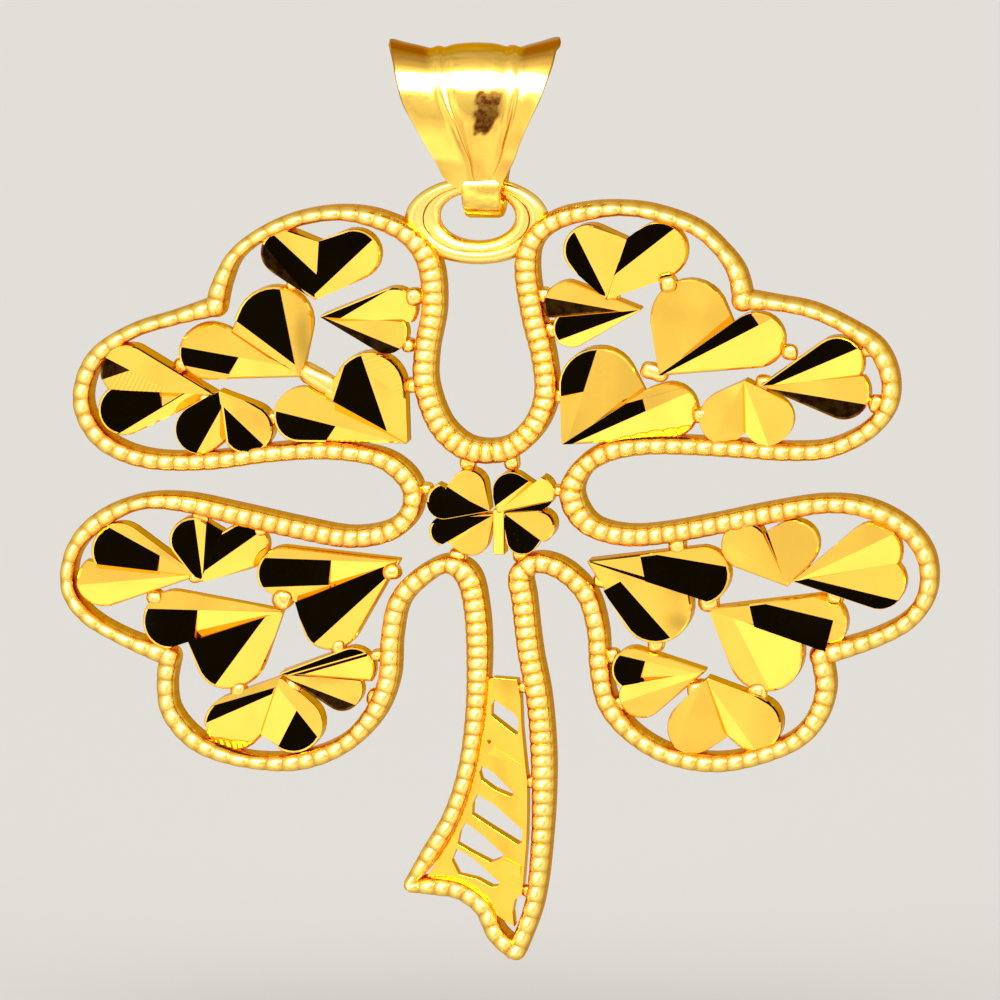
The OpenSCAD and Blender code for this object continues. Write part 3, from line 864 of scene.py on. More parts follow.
            # Tool lines, and painted shade on brown facets
            face[lined], face[painted_dark] = cell.tone.lined, cell.tone.painted_dark
            for vert in face.verts:
                vert[along] = vert.co.dot(cell.way)
        bmesh.ops.recalc_face_normals(block, faces=block.faces)
        rims = [e for f in faces for e in f.edges if self.on_outline(e, outline)]
        if rims:
            # The rim takes less than half of a sliver's width
            wide = 2 * sum(f.calc_area() for f in faces) / sum(f.calc_perimeter() for f in faces)
            offset = min(self.rim, self.rim_share * wide)
            bmesh.ops.bevel(block, geom=rims, offset=offset, offset_type="OFFSET", segments=2,
                            profile=0.5, affect="EDGES", material=-1, clamp_overlap=True)
        move_into(bm, block)

    def on_outline(self, edge: bmesh.types.BMEdge, outline: tuple) -> bool:
        """Whether an edge lies on the lobe's own outline, and not where two cells meet.

        Args:
            edge: the edge.
            outline: rounds whose hull is the lobe.
        Returns:
            True on the outline.
        """
        middle = (edge.verts[0].co + edge.verts[1].co) / 2
        centre, radius, _ = outline[0]
        tip, small, _ = outline[1]
        flat = Vector((middle.x, 0, middle.z))
        if abs((flat - centre).length - radius) < radius * self.round_slack:
            return True
        # Along a straight flank, which touches the round and the tip
        away = flat - tip
        line = centre - tip
        if away.dot(line) < 0:
            return True
        span = abs(away.x * line.z - away.z * line.x) / line.length
        share = away.dot(line) / line.length_squared
        return abs(span - (small + (radius - small) * min(share, 1.0))) < self.flank_slack

    def trim(self, cell: bmesh.types.BMesh, point: Vector, keep: Vector) -> list:
        """Cuts a cell with a plane and closes it.

        Args:
            cell: the closed mesh.
            point: a point of the plane.
            keep: the direction of what stays.
        Returns:
            The faces that close the cut.
        """
        geom = cell.verts[:] + cell.edges[:] + cell.faces[:]
        bmesh.ops.bisect_plane(cell, geom=geom, dist=1e-5, plane_co=point, plane_no=-keep, clear_outer=True)
        ends = [e for e in cell.edges if e.is_boundary]
        return bmesh.ops.holes_fill(cell, edges=ends, sides=0)["faces"] if ends else []


# Short names of the tones, for the tables of hearts
D, W, O, G, L, B = Tone.DARK, Tone.BROWN, Tone.ORANGE, Tone.GOLD, Tone.LINED, Tone.BRIGHT

UPPER_LEFT_HEARTS = [
    Heart(-5.55, -8.05,
          Lobe(-6.6, -6.52, 0.77, Cut(276, 233, 316, 270, O, Cut(264, 240, 300, 282, D, W))),
          Lobe(-4.3, -6.64, 0.87, Cut(375, 238, 317, 293, B, D))),
    Heart(-5.3, -8.65,
          Lobe(-2.95, -8.45, 0.75, Cut(388, 290, 349, 313, B, D)),
          Lobe(-3.15, -9.25, 0.65, Cut(345, 323, 410, 350, O, W))),
    Heart(-6.1, -10.65,
          Lobe(-6.95, -8.92, 1.25, Cut(282, 290, 297, 365, O, Cut(238, 318, 292, 360, D, O))),
          Lobe(-9.15, -9.85, 0.95, Cut(182, 345, 295, 366, O, Cut(
              243, 352, 231, 373, B, Cut(180, 362, 240, 374, D, G))))),
    Heart(-2.55, -12.85,
          Lobe(-3.75, -11.05, 1.2, Cut(364, 357, 389, 430, Cut(370, 372, 412, 400, L, O), Cut(
              349, 357, 338, 392, Cut(336, 402, 386, 429, D, O), O))),
          Lobe(-6.05, -11.95, 0.9, Cut(276, 409, 409, 443, O, Cut(336, 427, 327, 441, B, D)))),
    Heart(-8.95, -11.25,
          Lobe(-11.8, -10.5, 0.9, Cut(109, 356, 180, 393, O, Cut(140, 366, 104, 378, L, W))),
          Lobe(-11.9, -11.75, 0.87, Cut(124, 429, 190, 389, Cut(160, 385, 168, 425, G, D), B))),
    Heart(-8.75, -11.2,
          Lobe(-9.35, -12.4, 0.85, Cut(225, 404, 200, 450, B, D)),
          Lobe(-7.8, -12.4, 0.85, Cut(226, 405, 269, 446, O, D))),
]
UPPER_RIGHT_HEARTS = [
    Heart(4.15, -8.05,
          Lobe(3.55, -6.45, 0.85, Cut(576, 230, 606, 290, O, D)),
          Lobe(5.83, -6.52, 0.97, Cut(675, 228, 612, 277, B, D))),
    Heart(5.2, -8.45,
          Lobe(2.8, -8.25, 0.75, Cut(550, 296, 625, 310, O, W)),
          Lobe(3, -9.05, 0.65, Cut(562, 338, 632, 312, D, B))),
    Heart(5.95, -10.55,
          Lobe(6.85, -8.75, 1.3, Cut(678, 368, 712, 300, O, G)),
          Lobe(9.1, -9.5, 0.95, Cut(776, 316, 670, 370, B, Cut(752, 312, 768, 335, O, D)))),
    Heart(2.75, -12.85,
          Lobe(3.85, -10.95, 1.25, Cut(600, 346, 572, 436, O, Cut(560, 394, 592, 388, D, G))),
          Lobe(6.2, -11.85, 0.95, Cut(702, 386, 592, 434, B, Cut(
              590, 412, 650, 396, O, Cut(640, 385, 652, 425, O, D))))),
    Heart(9.35, -10.95,
          Lobe(11.8, -10.25, 0.9, Cut(865, 345, 782, 380, B, D)),
          Lobe(12.05, -11.25, 0.85, Cut(780, 388, 876, 404, O, W))),
    Heart(8.75, -10.85,
          Lobe(8.05, -12.05, 0.85, Cut(738, 395, 715, 440, O, G)),
          Lobe(9.5, -12.13, 0.83, Cut(750, 388, 770, 442, O, B))),
]
LOWER_LEFT_HEARTS = [
    Heart(-9.55, -17.3,
          Lobe(-12.1, -16.45, 0.9, Cut(108, 524, 198, 574, O, Cut(165, 535, 158, 578, G, D))),
          Lobe(-12.6, -17.45, 0.9, Cut(78, 583, 190, 574, O, B))),
    Heart(-9.35, -17.45,
          Lobe(-9.65, -16.1, 0.75, Cut(196, 515, 204, 572, Cut(209, 515, 205, 572, D, B), D)),
          Lobe(-7.95, -16.35, 0.8, Cut(260, 532, 200, 574, B, D))),
    Heart(-2.85, -16.85,
          Lobe(-6.65, -17.2, 0.85, Cut(262, 556, 398, 562, O, Cut(
              333, 555, 330, 590, B, Cut(262, 585, 335, 583, D, G)))),
          Lobe(-5.02, -18.85, 0.95, Cut(320, 638, 390, 574, D, B))),
    Heart(-6.75, -18.55,
          Lobe(-10.35, -18.78, 0.95, Cut(150, 607, 285, 612, O, Cut(200, 600, 196, 645, B, D))),
          Lobe(-8.4, -19.95, 1.15, Cut(262, 622, 217, 684, B, D))),
    Heart(-6.65, -20.55,
          Lobe(-4.35, -20.45, 0.75, Cut(356, 656, 290, 674, B, D)),
          Lobe(-4.65, -21.15, 0.65, Cut(300, 680, 362, 704, O, W))),
    Heart(-6.75, -20.75,
          Lobe(-8.3, -22.25, 0.95, Cut(208, 706, 272, 688, O, Cut(205, 722, 275, 692, D, B))),
          Lobe(-6.25, -22.25, 0.95, Cut(284, 690, 322, 738, O, Cut(296, 714, 277, 752, D, B)))),
]
LOWER_RIGHT_HEARTS = [
    Heart(3.55, -16.85,
          Lobe(7.3, -17.3, 0.95, Cut(640, 550, 738, 567, O, Cut(640, 545, 652, 600, D, G))),
          Lobe(5.8, -18.35, 1.2, Cut(612, 568, 674, 638, O, Cut(600, 592, 625, 578, G, D)))),
    Heart(10.15, -17.6,
          Lobe(8.75, -16.3, 0.8, Cut(730, 540, 785, 578, O, G)),
          Lobe(10.35, -16.3, 0.85, Cut(800, 522, 789, 580, O, G))),
    Heart(10.45, -17.45,
          Lobe(12.98, -16.54, 0.98, Cut(890, 535, 800, 577, B, G)),
          Lobe(13.25, -17.55, 0.85, Cut(800, 574, 915, 602, O, D))),
    Heart(7.55, -18.45,
          Lobe(11.2, -18.9, 0.95, Cut(745, 597, 840, 620, O, Cut(
              838, 605, 828, 645, G, Cut(750, 600, 760, 640, D, G)))),
          Lobe(9.42, -19.93, 1.28, Cut(735, 620, 772, 692, B, O))),
    Heart(7.35, -20.5,
          Lobe(5, -20.4, 0.7, Cut(615, 652, 700, 672, O, Cut(648, 655, 640, 685, B, D))),
          Lobe(5.3, -21.33, 0.75, Cut(625, 700, 698, 676, B, O))),
    Heart(7.5, -20.75,
          Lobe(7.05, -22.35, 0.9, Cut(700, 690, 675, 748, O, G)),
          Lobe(9.07, -22.25, 0.92, Cut(712, 685, 755, 745, O, B))),
]
MIDDLE_HEARTS = [
    Heart(0.2, -15.1,
          Lobe(-0.45, -14.35, 0.6, Cut(447, 483, 481, 505, O, D)),
          Lobe(-1.25, -14.8, 0.6, Cut(430, 500, 488, 508, D, D))),
    Heart(0.55, -15.15,
          Lobe(0.95, -14.45, 0.6, Cut(533, 478, 492, 508, B, D)),
          Lobe(1.8, -14.55, 0.6, Cut(553, 500, 505, 510, D, B))),
    Heart(0.8, -15.25,
          Lobe(1.9, -15.65, 0.55, Cut(510, 515, 542, 540, O, D)),
          Lobe(1.35, -16.05, 0.55, Cut(505, 512, 528, 552, D, D))),
    Heart(0.35, -15.3,
          Lobe(-1.25, -15.8, 0.5, Cut(430, 522, 490, 512, D, D)),
          Lobe(-0.35, -16.1, 0.55, Cut(456, 542, 492, 512, B, O))),
]


@dataclass
class HeartGroup:
    """Hearts that make up one leaf, or the small clover in the middle."""

    name: str
    hearts: list[Heart]
    strips: list = field(default_factory=list)
    strip_lean: float = 0.25
    strip_edge: float = 0.03

    def build(self, finish: bpy.types.Material) -> bpy.types.Object:
        """Builds the group's hearts, and its strips as x, z, width, height and depth.

        Args:
            finish: the group's material.
        Returns:
            The finished piece.
        """
        bm = bmesh.new()
        for heart in self.hearts:
            heart.add(bm)
        for x, z, wide, high, deep in self.strips:
            made = bmesh.ops.create_cube(bm, size=1.0)["verts"]
            bmesh.ops.scale(bm, vec=(wide, deep, high), verts=made)
            for vert in made:
                # The strip's front leans so that it catches the light
                if vert.co.y < 0:
                    vert.co.y -= self.strip_lean * vert.co.x
            bmesh.ops.translate(bm, vec=(x, 0, z), verts=made)
            edges = list({e for v in made for e in v.link_edges})
            bmesh.ops.bevel(bm, geom=edges, offset=self.strip_edge, offset_type="OFFSET", segments=2,
                            profile=0.5, affect="EDGES", material=-1)
        return finish_piece(bm, self.name, "clover", finish)


# Joints
UPPER_JOINTS = [
    (-6.35, -7.6, 0.24), (-10.05, -10.35, 0.27), (-9.25, -11.4, 0.22),
    (-7.05, -12.1, 0.24), (-2.3, -8.05, 0.3), (-2.4, -11, 0.27), (-2.5, -9.65, 0.24),
    (4.25, -7.95, 0.3), (6.15, -7.6, 0.3), (2, -8, 0.27), (2.2, -9.15, 0.3),
    (10.2, -9.9, 0.27), (7.25, -12, 0.27), (9.35, -10.95, 0.3), (2.55, -11.35, 0.27),
    (13.1, -11.6, 0.3), (12.85, -9.8, 0.27),
]
LOWER_JOINTS = [
    (-9.6, -17.35, 0.24), (-6.7, -18.1, 0.37), (-10.95, -18.05, 0.27), (-8.15, -21.15, 0.28),
    (-6.4, -21.05, 0.35), (-4.85, -19.7, 0.27), (-3.05, -17.2, 0.3), (-3.6, -21.4, 0.3),
    (-3.55, -20, 0.22), (-9.4, -15.35, 0.3), (-7.4, -15.75, 0.3), (7.5, -18.2, 0.37),
    (5.75, -19.6, 0.3), (9.1, -21.25, 0.35), (7.15, -21.15, 0.35), (10.6, -17.15, 0.27),
    (11.7, -18, 0.3), (6.45, -16.3, 0.3), (4.3, -20, 0.27), (4.5, -21.6, 0.3), (3.9, -17.5, 0.25),
]
MIDDLE_JOINTS = [
    (-0.5, -13.55, 0.3), (0.95, -13.55, 0.28), (-1.9, -14.45, 0.22), (2.5, -14.5, 0.22),
    (-0.85, -16.7, 0.3), (1.25, -16.6, 0.3),
]
PANEL_JOINTS = [(1.62, -24.2, 0.22), (1.48, -27.85, 0.22), (1.35, -21.05, 0.2)]
LONG_JOINTS = [(-5.47, -10.83, 0.85, 0.36, -30.0), (5.7, -10.55, 0.5, 0.3, -15.0)]


@dataclass
class SolderJoints:
    """Drops and tabs of solder that hold the hearts and the panel.

    The tables have the columns x, z and radius, or x, z, half length, half width and angle.
    """

    places: list = field(default_factory=lambda: UPPER_JOINTS + LOWER_JOINTS + MIDDLE_JOINTS)
    long_places: list = field(default_factory=lambda: list(LONG_JOINTS))
    depth: float = 0.68
    panel_places: list = field(default_factory=lambda: list(PANEL_JOINTS))
    panel_depth: float = 0.6
    squareness: float = 0.78
    unevenness: float = 0.16
    lumps_a_mm: float = 3.0

    def build(self, finish: bpy.types.Material) -> bpy.types.Object:
        """Builds the drops as uneven pads with a flat front and rounded edges.

        Args:
            finish: the solder's material.
        Returns:
            The finished piece.
        """
        bm = bmesh.new()
        drops = [(x, z, r, r, 0.0, self.depth) for x, z, r in self.places]
        drops += [(x, z, r, r, 0.0, self.panel_depth) for x, z, r in self.panel_places]
        drops += [(*row, self.depth) for row in self.long_places]
        for x, z, half_long, half_wide, angle, deep in drops:
            made = bmesh.ops.create_uvsphere(bm, u_segments=20, v_segments=14, radius=1.0)["verts"]
            middle = Vector((x, 0, z))
            turn = Matrix.Rotation(math.radians(-angle), 3, "Y")
            for vert in made:
                squared = Vector([math.copysign(abs(c) ** self.squareness, c) for c in vert.co])
                out = turn @ Vector((squared.x * half_long, squared.y * deep * 0.5, squared.z * half_wide))
                vert.co = middle + out * (1 + self.unevenness * noise.noise((middle + out) * self.lumps_a_mm))
        for face in bm.faces:
            face.smooth = True
        return finish_piece(bm, "solder_joints", "clover", finish)


# Stem panel
PANEL = [
    (-0.1, -20.9), (0.35, -20.72), (1.15, -20.78), (1.27, -21.4), (1.31, -22.4), (1.4, -23.3), (1.5, -24.2),
    (1.5, -25.2), (1.47, -26.2), (1.38, -27.3), (1.32, -27.9), (1.08, -28.1), (1, -28.5), (1.05, -29),
    (0.45, -28.6), (-0.3, -27.98), (-1.2, -27.7), (-1.95, -27.5), (-1.6, -26.9), (-1.15, -26),
    (-0.75, -25), (-0.45, -23.8), (-0.2, -22.4), (-0.1, -21.5),
]
WINDOWS = [
    [(0.39, -21.44), (1.07, -21.92), (1.2, -22.08), (1.19, -22.58), (1.08, -22.6), (0.29, -21.99),
     (0.29, -21.63)],
    [(-0.03, -23.65), (0.39, -23.9), (1.07, -24.58), (0.92, -24.67), (0.39, -24.45), (-0.05, -24.13),
     (-0.12, -23.87)],
    [(-0.2, -24.61), (0.39, -24.94), (1.34, -25.78), (1.31, -26.2), (1.17, -26.25), (0.39, -25.77),
     (-0.36, -25.29), (-0.34, -24.91)],
    [(-0.59, -25.55), (-0.07, -25.91), (0.72, -26.62), (0.58, -26.75), (0.26, -26.87), (-0.33, -26.57),
     (-0.85, -26.27), (-0.77, -25.85)],
    [(-0.89, -26.42), (-0.33, -26.74), (0.58, -27.54), (0.48, -27.67), (0.29, -27.69), (-0.2, -27.43),
     (-0.81, -27.29), (-1.05, -26.82)],
    [(0.14, -22.8), (0.23, -22.77), (0.3, -22.85), (0.2, -22.93)],
]
# Small facets cut into the panel; the first two corners are the lower edge
PANEL_FACETS = [
    [(0.13, -23.26), (1.24, -23.57), (0.37, -23.02)],
    [(0.25, -27.18), (1.28, -27.36), (1.28, -26.97), (0.75, -26.73)],
]


@dataclass
class StemPanel:
    """Thin panel between the legs of the stem, with slanted windows, a front that leans and two facets."""

    depth: float = 0.6
    lean: float = 5.0
    edge: float = 0.035
    middle_x: float = 0.5
    facet_lean: float = 11.0
    facet_out: float = 0.01
    ahead: float = 0.8
    sharp: float = 0.8

    def front(self, x: float) -> float:
        """The y of the panel's leaning front."""
        return -self.depth / 2 - (x - self.middle_x) * math.tan(math.radians(self.lean))

    def add_facet(self, bm: bmesh.types.BMesh, corners: list[tuple[float, float]]) -> None:
        """Adds a facet, a closed wedge that stands out of the panel's front more towards its upper edge.

        Args:
            bm: the mesh it is added to.
            corners: the facet's corners as x and z, its lower edge first.
        """
        points = [bm.verts.new((x, 0.0, z)) for x, z in corners]
        raised = bmesh.ops.extrude_face_region(bm, geom=[bm.faces.new(points)], use_keep_orig=True)["geom"]
        (x1, z1), (x2, z2) = corners[:2]
        for vert in (g for g in raised if isinstance(g, bmesh.types.BMVert)):
            above = vert.co.z - (z1 + (z2 - z1) * (vert.co.x - x1) / (x2 - x1))
            out = self.facet_out + above * math.tan(math.radians(self.facet_lean))
            vert.co.y = self.front(vert.co.x) - out
        bmesh.ops.recalc_face_normals(bm, faces=bm.faces)

    def build(self, finish: bpy.types.Material) -> bpy.types.Object:
        """Builds the panel from its outline, windows and facets.

        Args:
            finish: the panel's material.
        Returns:
            The finished piece.
        """
        bm = bmesh.new()
        for line in [PANEL] + WINDOWS:
            points = [bm.verts.new((x, self.depth / 2, z)) for x, z in line]
            for a, b in zip(points, points[1:] + points[:1]):
                bm.edges.new((a, b))
        bmesh.ops.triangle_fill(bm, edges=bm.edges[:], use_beauty=True, use_dissolve=False)
        raised = bmesh.ops.extrude_face_region(bm, geom=bm.faces[:], use_keep_orig=True)["geom"]
        for vert in (g for g in raised if isinstance(g, bmesh.types.BMVert)):
            vert.co.y = self.front(vert.co.x)
        bmesh.ops.recalc_face_normals(bm, faces=bm.faces)
        bmesh.ops.dissolve_limit(bm, angle_limit=math.radians(1), verts=bm.verts, edges=bm.edges)
        # The rims of the front and its windows, where a face that looks ahead meets a wall
        rims = [e for e in bm.edges
                if len(e.link_faces) == 2 and min(f.normal.y for f in e.link_faces) < -self.ahead
                and e.calc_face_angle(0.0) > self.sharp]
        bmesh.ops.bevel(bm, geom=rims, offset=self.edge, offset_type="OFFSET", segments=2, profile=0.5,
                        affect="EDGES", material=-1, clamp_overlap=True)
        for line in PANEL_FACETS:
            self.add_facet(bm, line)
        return finish_piece(bm, "stem_panel", "clover", finish)


# Eyelet
@dataclass
class Eyelet:
    """Oval eyelet that hangs in the bail's loop, with a step between its rim and its flat inside.

    The section's table has the columns share of the way from the hole to the rim, and depth as a share of
    half the eyelet's depth. The step, given as such shares, is where shade is painted.
    """

    width: float = 4.8
    height: float = 2.88
    top: float = -4.09
    top_thick: float = 0.5
    depth: float = 0.54
    hole_width: float = 2.5
    hole_height: float = 1.6
    middle_x: float = -0.1
    hole_x: float = -0.07
    sides: int = 120
    step: tuple = (0.43, 0.48)
    section: tuple = (
        (0.0, 0.1), (0.03, -0.3), (0.09, -0.52), (0.17, -0.7), (0.27, -0.81), (0.36, -0.85), (0.42, -0.85),
        (0.45, -0.7), (0.48, -0.84), (0.56, -0.95), (0.66, -1.0), (0.76, -0.96), (0.85, -0.85), (0.92, -0.67),
        (0.97, -0.4), (1.0, -0.05), (1.0, 0.5), (0.95, 0.85), (0.85, 1.0), (0.2, 1.0), (0.06, 0.88),
        (0.0, 0.55),
    )

    def build(self, finish: bpy.types.Material) -> bpy.types.Object:
        """Builds the eyelet as a grid rolled up both ways.

        Args:
            finish: the eyelet's material.
        Returns:
            The finished piece.
        """
        bm = bmesh.new()
        rim = (self.middle_x, self.top - self.height / 2, self.width / 2, self.height / 2)
        hole = (self.hole_x, self.top - self.top_thick - self.hole_height / 2,
                self.hole_width / 2, self.hole_height / 2)
        count = len(self.section)

        def place(i: int, j: int) -> Vector:
            """Point of the eyelet's skin.

            Args:
                i: number of the section round the eyelet.
                j: number of the point round the section.
            Returns:
                The point.
            """
            turn = 2 * math.pi * i / self.sides
            share, deep = self.section[j % count]
            ends = [(x + math.sin(turn) * a, z + math.cos(turn) * b) for x, z, a, b in (hole, rim)]
            return Vector((ends[0][0] + (ends[1][0] - ends[0][0]) * share, deep * self.depth / 2,
                           ends[0][1] + (ends[1][1] - ends[0][1]) * share))

        def painted_shade(i: int, j: int) -> float:
            """Painted shade in the step, most of it at the left and right."""
            side = abs(math.sin(2 * math.pi * i / self.sides)) ** 3
            return side if self.step[0] < self.section[j % count][0] < self.step[1] else 0.0

        shaped_grid(bm, self.sides + 1, count + 1, place, round_shut=True, marks={"painted_shade": painted_shade})
        bmesh.ops.remove_doubles(bm, verts=bm.verts, dist=1e-4)
        close_and_turn_out(bm)
        smooth_faces(bm, 50)
        return finish_piece(bm, "eyelet", "clover", finish, drawn=False)


# Bail
BAIL_ROWS = [
    (-0.8, -4.4, -0.02, 0.66, 0.05, 0.5, 0), (-0.93, -4, -0.22, 0.98, 0.05, 0.55, 0.05),
    (-1.08, -3.5, -0.31, 1.22, 0.11, 0.6, 0.15), (-1.28, -2.8, -0.4, 1.54, 0.22, 0.63, 0.3),
    (-1.46, -2.1, -0.43, 1.87, 0.31, 0.635, 0.5), (-1.53, -1.5, -0.44, 2.18, 0.38, 0.61, 0.7),
    (-1.49, -0.9, -0.4, 2.4, 0.43, 0.58, 0.88), (-1.27, -0.38, -0.34, 2.58, 0.44, 0.48, 0.97),
    (-0.78, -0.05, -0.33, 2.7, 0.44, 0.47, 1), (0, 0.06, -0.28, 2.78, 0.44, 0.46, 1),
]


@dataclass
class Bail:
    """Flared bail: a sheet folded over the chain's seat, with two horns, a rib and a loop at its foot.

    The front half's table has the columns y, z, middle x, half width, the left and the right crease as a
    share of the half width, and flare as a share. The back half mirrors it. The dark patch, a painted
    reflection of the camera, and the painted shade of the scoops and the foot are bounded by z, and across
    the sheet by a place from -2 to 2.
    """

    thick: float = 0.3
    rib: float = 0.13
    rib_rise: float = 2.0
    flare: float = 0.28
    flare_curve: float = 1.6
    crease: float = 0.13
    crease_rise: float = 3.0
    crease_wide: float = 0.12
    groove: float = 0.09
    groove_wide: float = 0.28
    turn: float = 9.0
    turn_from: float = -4.45
    turn_over: float = 1.2
    shift_x: float = 0.19
    edge_bulge: float = 0.04
    patch_left: float = 0.05
    patch_right: float = 0.88
    patch_slant: float = 0.2
    patch_slant_z: float = -1.2
    patch_foot: float = -2.5
    patch_head: float = -1.05
    patch_soft: float = 0.1
    scoop_z: float = -0.6
    scoop_over: float = 0.6
    scoop_middle: float = 0.35
    horn_from: float = 1.1
    horn_over: float = 0.2
    foot_z: float = -1.4
    foot_over: float = 0.6
    foot_shade: float = 0.32
    foot_shade_left: float = 0.1
    rows_between: int = 8
    columns: int = 81
    back_share: float = 0.92
    loop_radius: float = 1.08
    bore_radius: float = 0.74
    loop_width: float = 1.3
    loop_rounding: float = 0.17
    loop_z: float = -4.35

    def relief(self, place: float, flare: float) -> float:
        """Height of the bail's face above its sheet's middle.

        Args:
            place: place across the sheet, from -2 to 2, with the creases at -1 and 1.
            flare: how far the horns flare there, as a share.
        Returns:
            The height.
        """
        beside = abs(place) - 1
        if beside < 0:
            body = self.rib * (1 - place * place) * min(1.0, flare * self.rib_rise)
        else:
            body = self.flare * flare * beside ** self.flare_curve
        bead = self.crease * math.exp(-(beside / self.crease_wide) ** 2) * min(1.0, flare * self.crease_rise)
        groove = self.groove * math.exp(-(beside / self.groove_wide) ** 2) * flare
        return body + bead - groove

    def add_sheet(self, bm: bmesh.types.BMesh) -> None:
        """Adds the folded sheet as a grid rolled into a flat tube.

        Args:
            bm: the mesh it is added to.
        """
        back = [(-y, z, x, half * self.back_share, *rest) for y, z, x, half, *rest in BAIL_ROWS[-2::-1]]
        rows = BAIL_ROWS + back
        steps = (len(rows) - 1) * self.rows_between
        frames = []
        for n in range(steps + 1):
            at = n / self.rows_between
            here = curve_point(rows, at)
            before = curve_point(rows, max(at - 0.1, 0))
            after = curve_point(rows, min(at + 0.1, len(rows) - 1.0))
            way = Vector((0, after[0] - before[0], after[1] - before[1])).normalized()
            frames.append((here, way))
        places = [-2 + 4 * k / (self.columns - 1) for k in range(self.columns)]
        ring = [(p, 0.5) for p in places] + [(2.0, 0.0)]
        ring += [(p, -0.5) for p in reversed(places)] + [(-2.0, 0.0)]

        def position(i: int, j: int) -> Vector:
            """Point of the sheet's skin.

            Args:
                i: number of the section along the fold.
                j: number of the point round the section.
            Returns:
                The point.
            """
            here, way = frames[i]
            p, side = ring[j % len(ring)]
            crease = here[4] if p < 0 else here[5]
            share = abs(p) * crease if abs(p) <= 1 else crease + (abs(p) - 1) * (1 - crease)
            bulge = self.edge_bulge if side == 0 else 0.0
            x = here[2] + math.copysign(here[3] * share + bulge, p)
            lift = self.relief(p, here[6]) + side * self.thick
            place = Vector((x, here[0] - way.z * lift, here[1] + way.y * lift))
            # The sheet is turned a little on its loop, as in the photograph, and the loop stays on its hinge
            up = clamped((place.z - self.turn_from) / self.turn_over)
            twist = self.turn * up * up * (3 - 2 * up)
            return Matrix.Rotation(math.radians(twist), 3, "Z") @ place

        def painted_dark(i: int, j: int) -> float:
            """Painted reflection of the camera: a dark patch in the middle of the front, which has soft
            edges.

            Args:
                i: number of the section along the fold.
                j: number of the point round the section.
            Returns:
                A share from 0 to 1.
            """
            (y, z, *_), p = frames[i][0], ring[j % len(ring)][0]
            right = self.patch_right + self.patch_slant * (z - self.patch_slant_z)
            inside = min(p - self.patch_left, right - p, z - self.patch_foot, self.patch_head - z)
            edge = self.patch_soft * noise.noise(Vector((p * 6, 0.0, z * 4)))
            return clamped((inside + edge) / self.patch_soft) if y < 0 else 0.0

        def painted_shade(i: int, j: int) -> float:
            """Painted shade: the scoops at the top of the horns, painted with the dark that they mirror, and
            the foot, less so left of the rib.

            Args:
                i: number of the section along the fold.
                j: number of the point round the section.
            Returns:
                A share from 0 to 1.
            """
            z, p = frames[i][0][1], ring[j % len(ring)][0]
            horn = clamped((abs(p) - self.horn_from) / self.horn_over)
            scoop = clamped((z - self.scoop_z) / self.scoop_over)
            scoop *= self.scoop_middle + (1 - self.scoop_middle) * horn
            foot = clamped((self.foot_z - z) / self.foot_over)
            return max(scoop, foot * (self.foot_shade if p > -1 else self.foot_shade_left))

        shaped_grid(bm, len(frames), len(ring) + 1, position, round_shut=True,
                    marks={"painted_dark": painted_dark, "painted_shade": painted_shade})

    def add_loop(self, bm: bmesh.types.BMesh) -> None:
        """Adds the round loop, a rounded section spun about the hinge.

        Args:
            bm: the mesh it is added to.
        """
        half, cut = self.loop_width / 2, self.loop_rounding
        inner, outer = self.bore_radius, self.loop_radius
        # The middle point of each corner, where a round of that size passes
        near = cut * 0.3
        right = [(half - cut, outer), (half - near, outer - near), (half, outer - cut),
                 (half, inner + cut), (half - near, inner + near), (half - cut, inner)]
        section = right + [(-x, y) for x, y in reversed(right)]
        points = [bm.verts.new((x, 0, self.loop_z + y)) for x, y in section]
        edges = [bm.edges.new((a, b)) for a, b in zip(points, points[1:] + points[:1])]
        bmesh.ops.spin(bm, geom=points + edges, cent=(0, 0, self.loop_z), axis=(1, 0, 0), angle=2 * math.pi,
                       steps=72, use_merge=True)

    def build(self, finish: bpy.types.Material) -> bpy.types.Object:
        """Builds the bail from its sheet and its loop.

        Args:
            finish: the bail's material.
        Returns:
            The finished piece.
        """
        bm = bmesh.new()
        self.add_sheet(bm)
        close_and_turn_out(bm)
        loop = bmesh.new()
        self.add_loop(loop)
        bmesh.ops.remove_doubles(loop, verts=loop.verts, dist=1e-4)
        bmesh.ops.recalc_face_normals(loop, faces=loop.faces)
        move_into(bm, loop)
        smooth_faces(bm, 40)
        bmesh.ops.translate(bm, vec=(self.shift_x, 0, 0), verts=bm.verts)
        return finish_piece(bm, "flared_bail", "bail", finish, drawn=False)


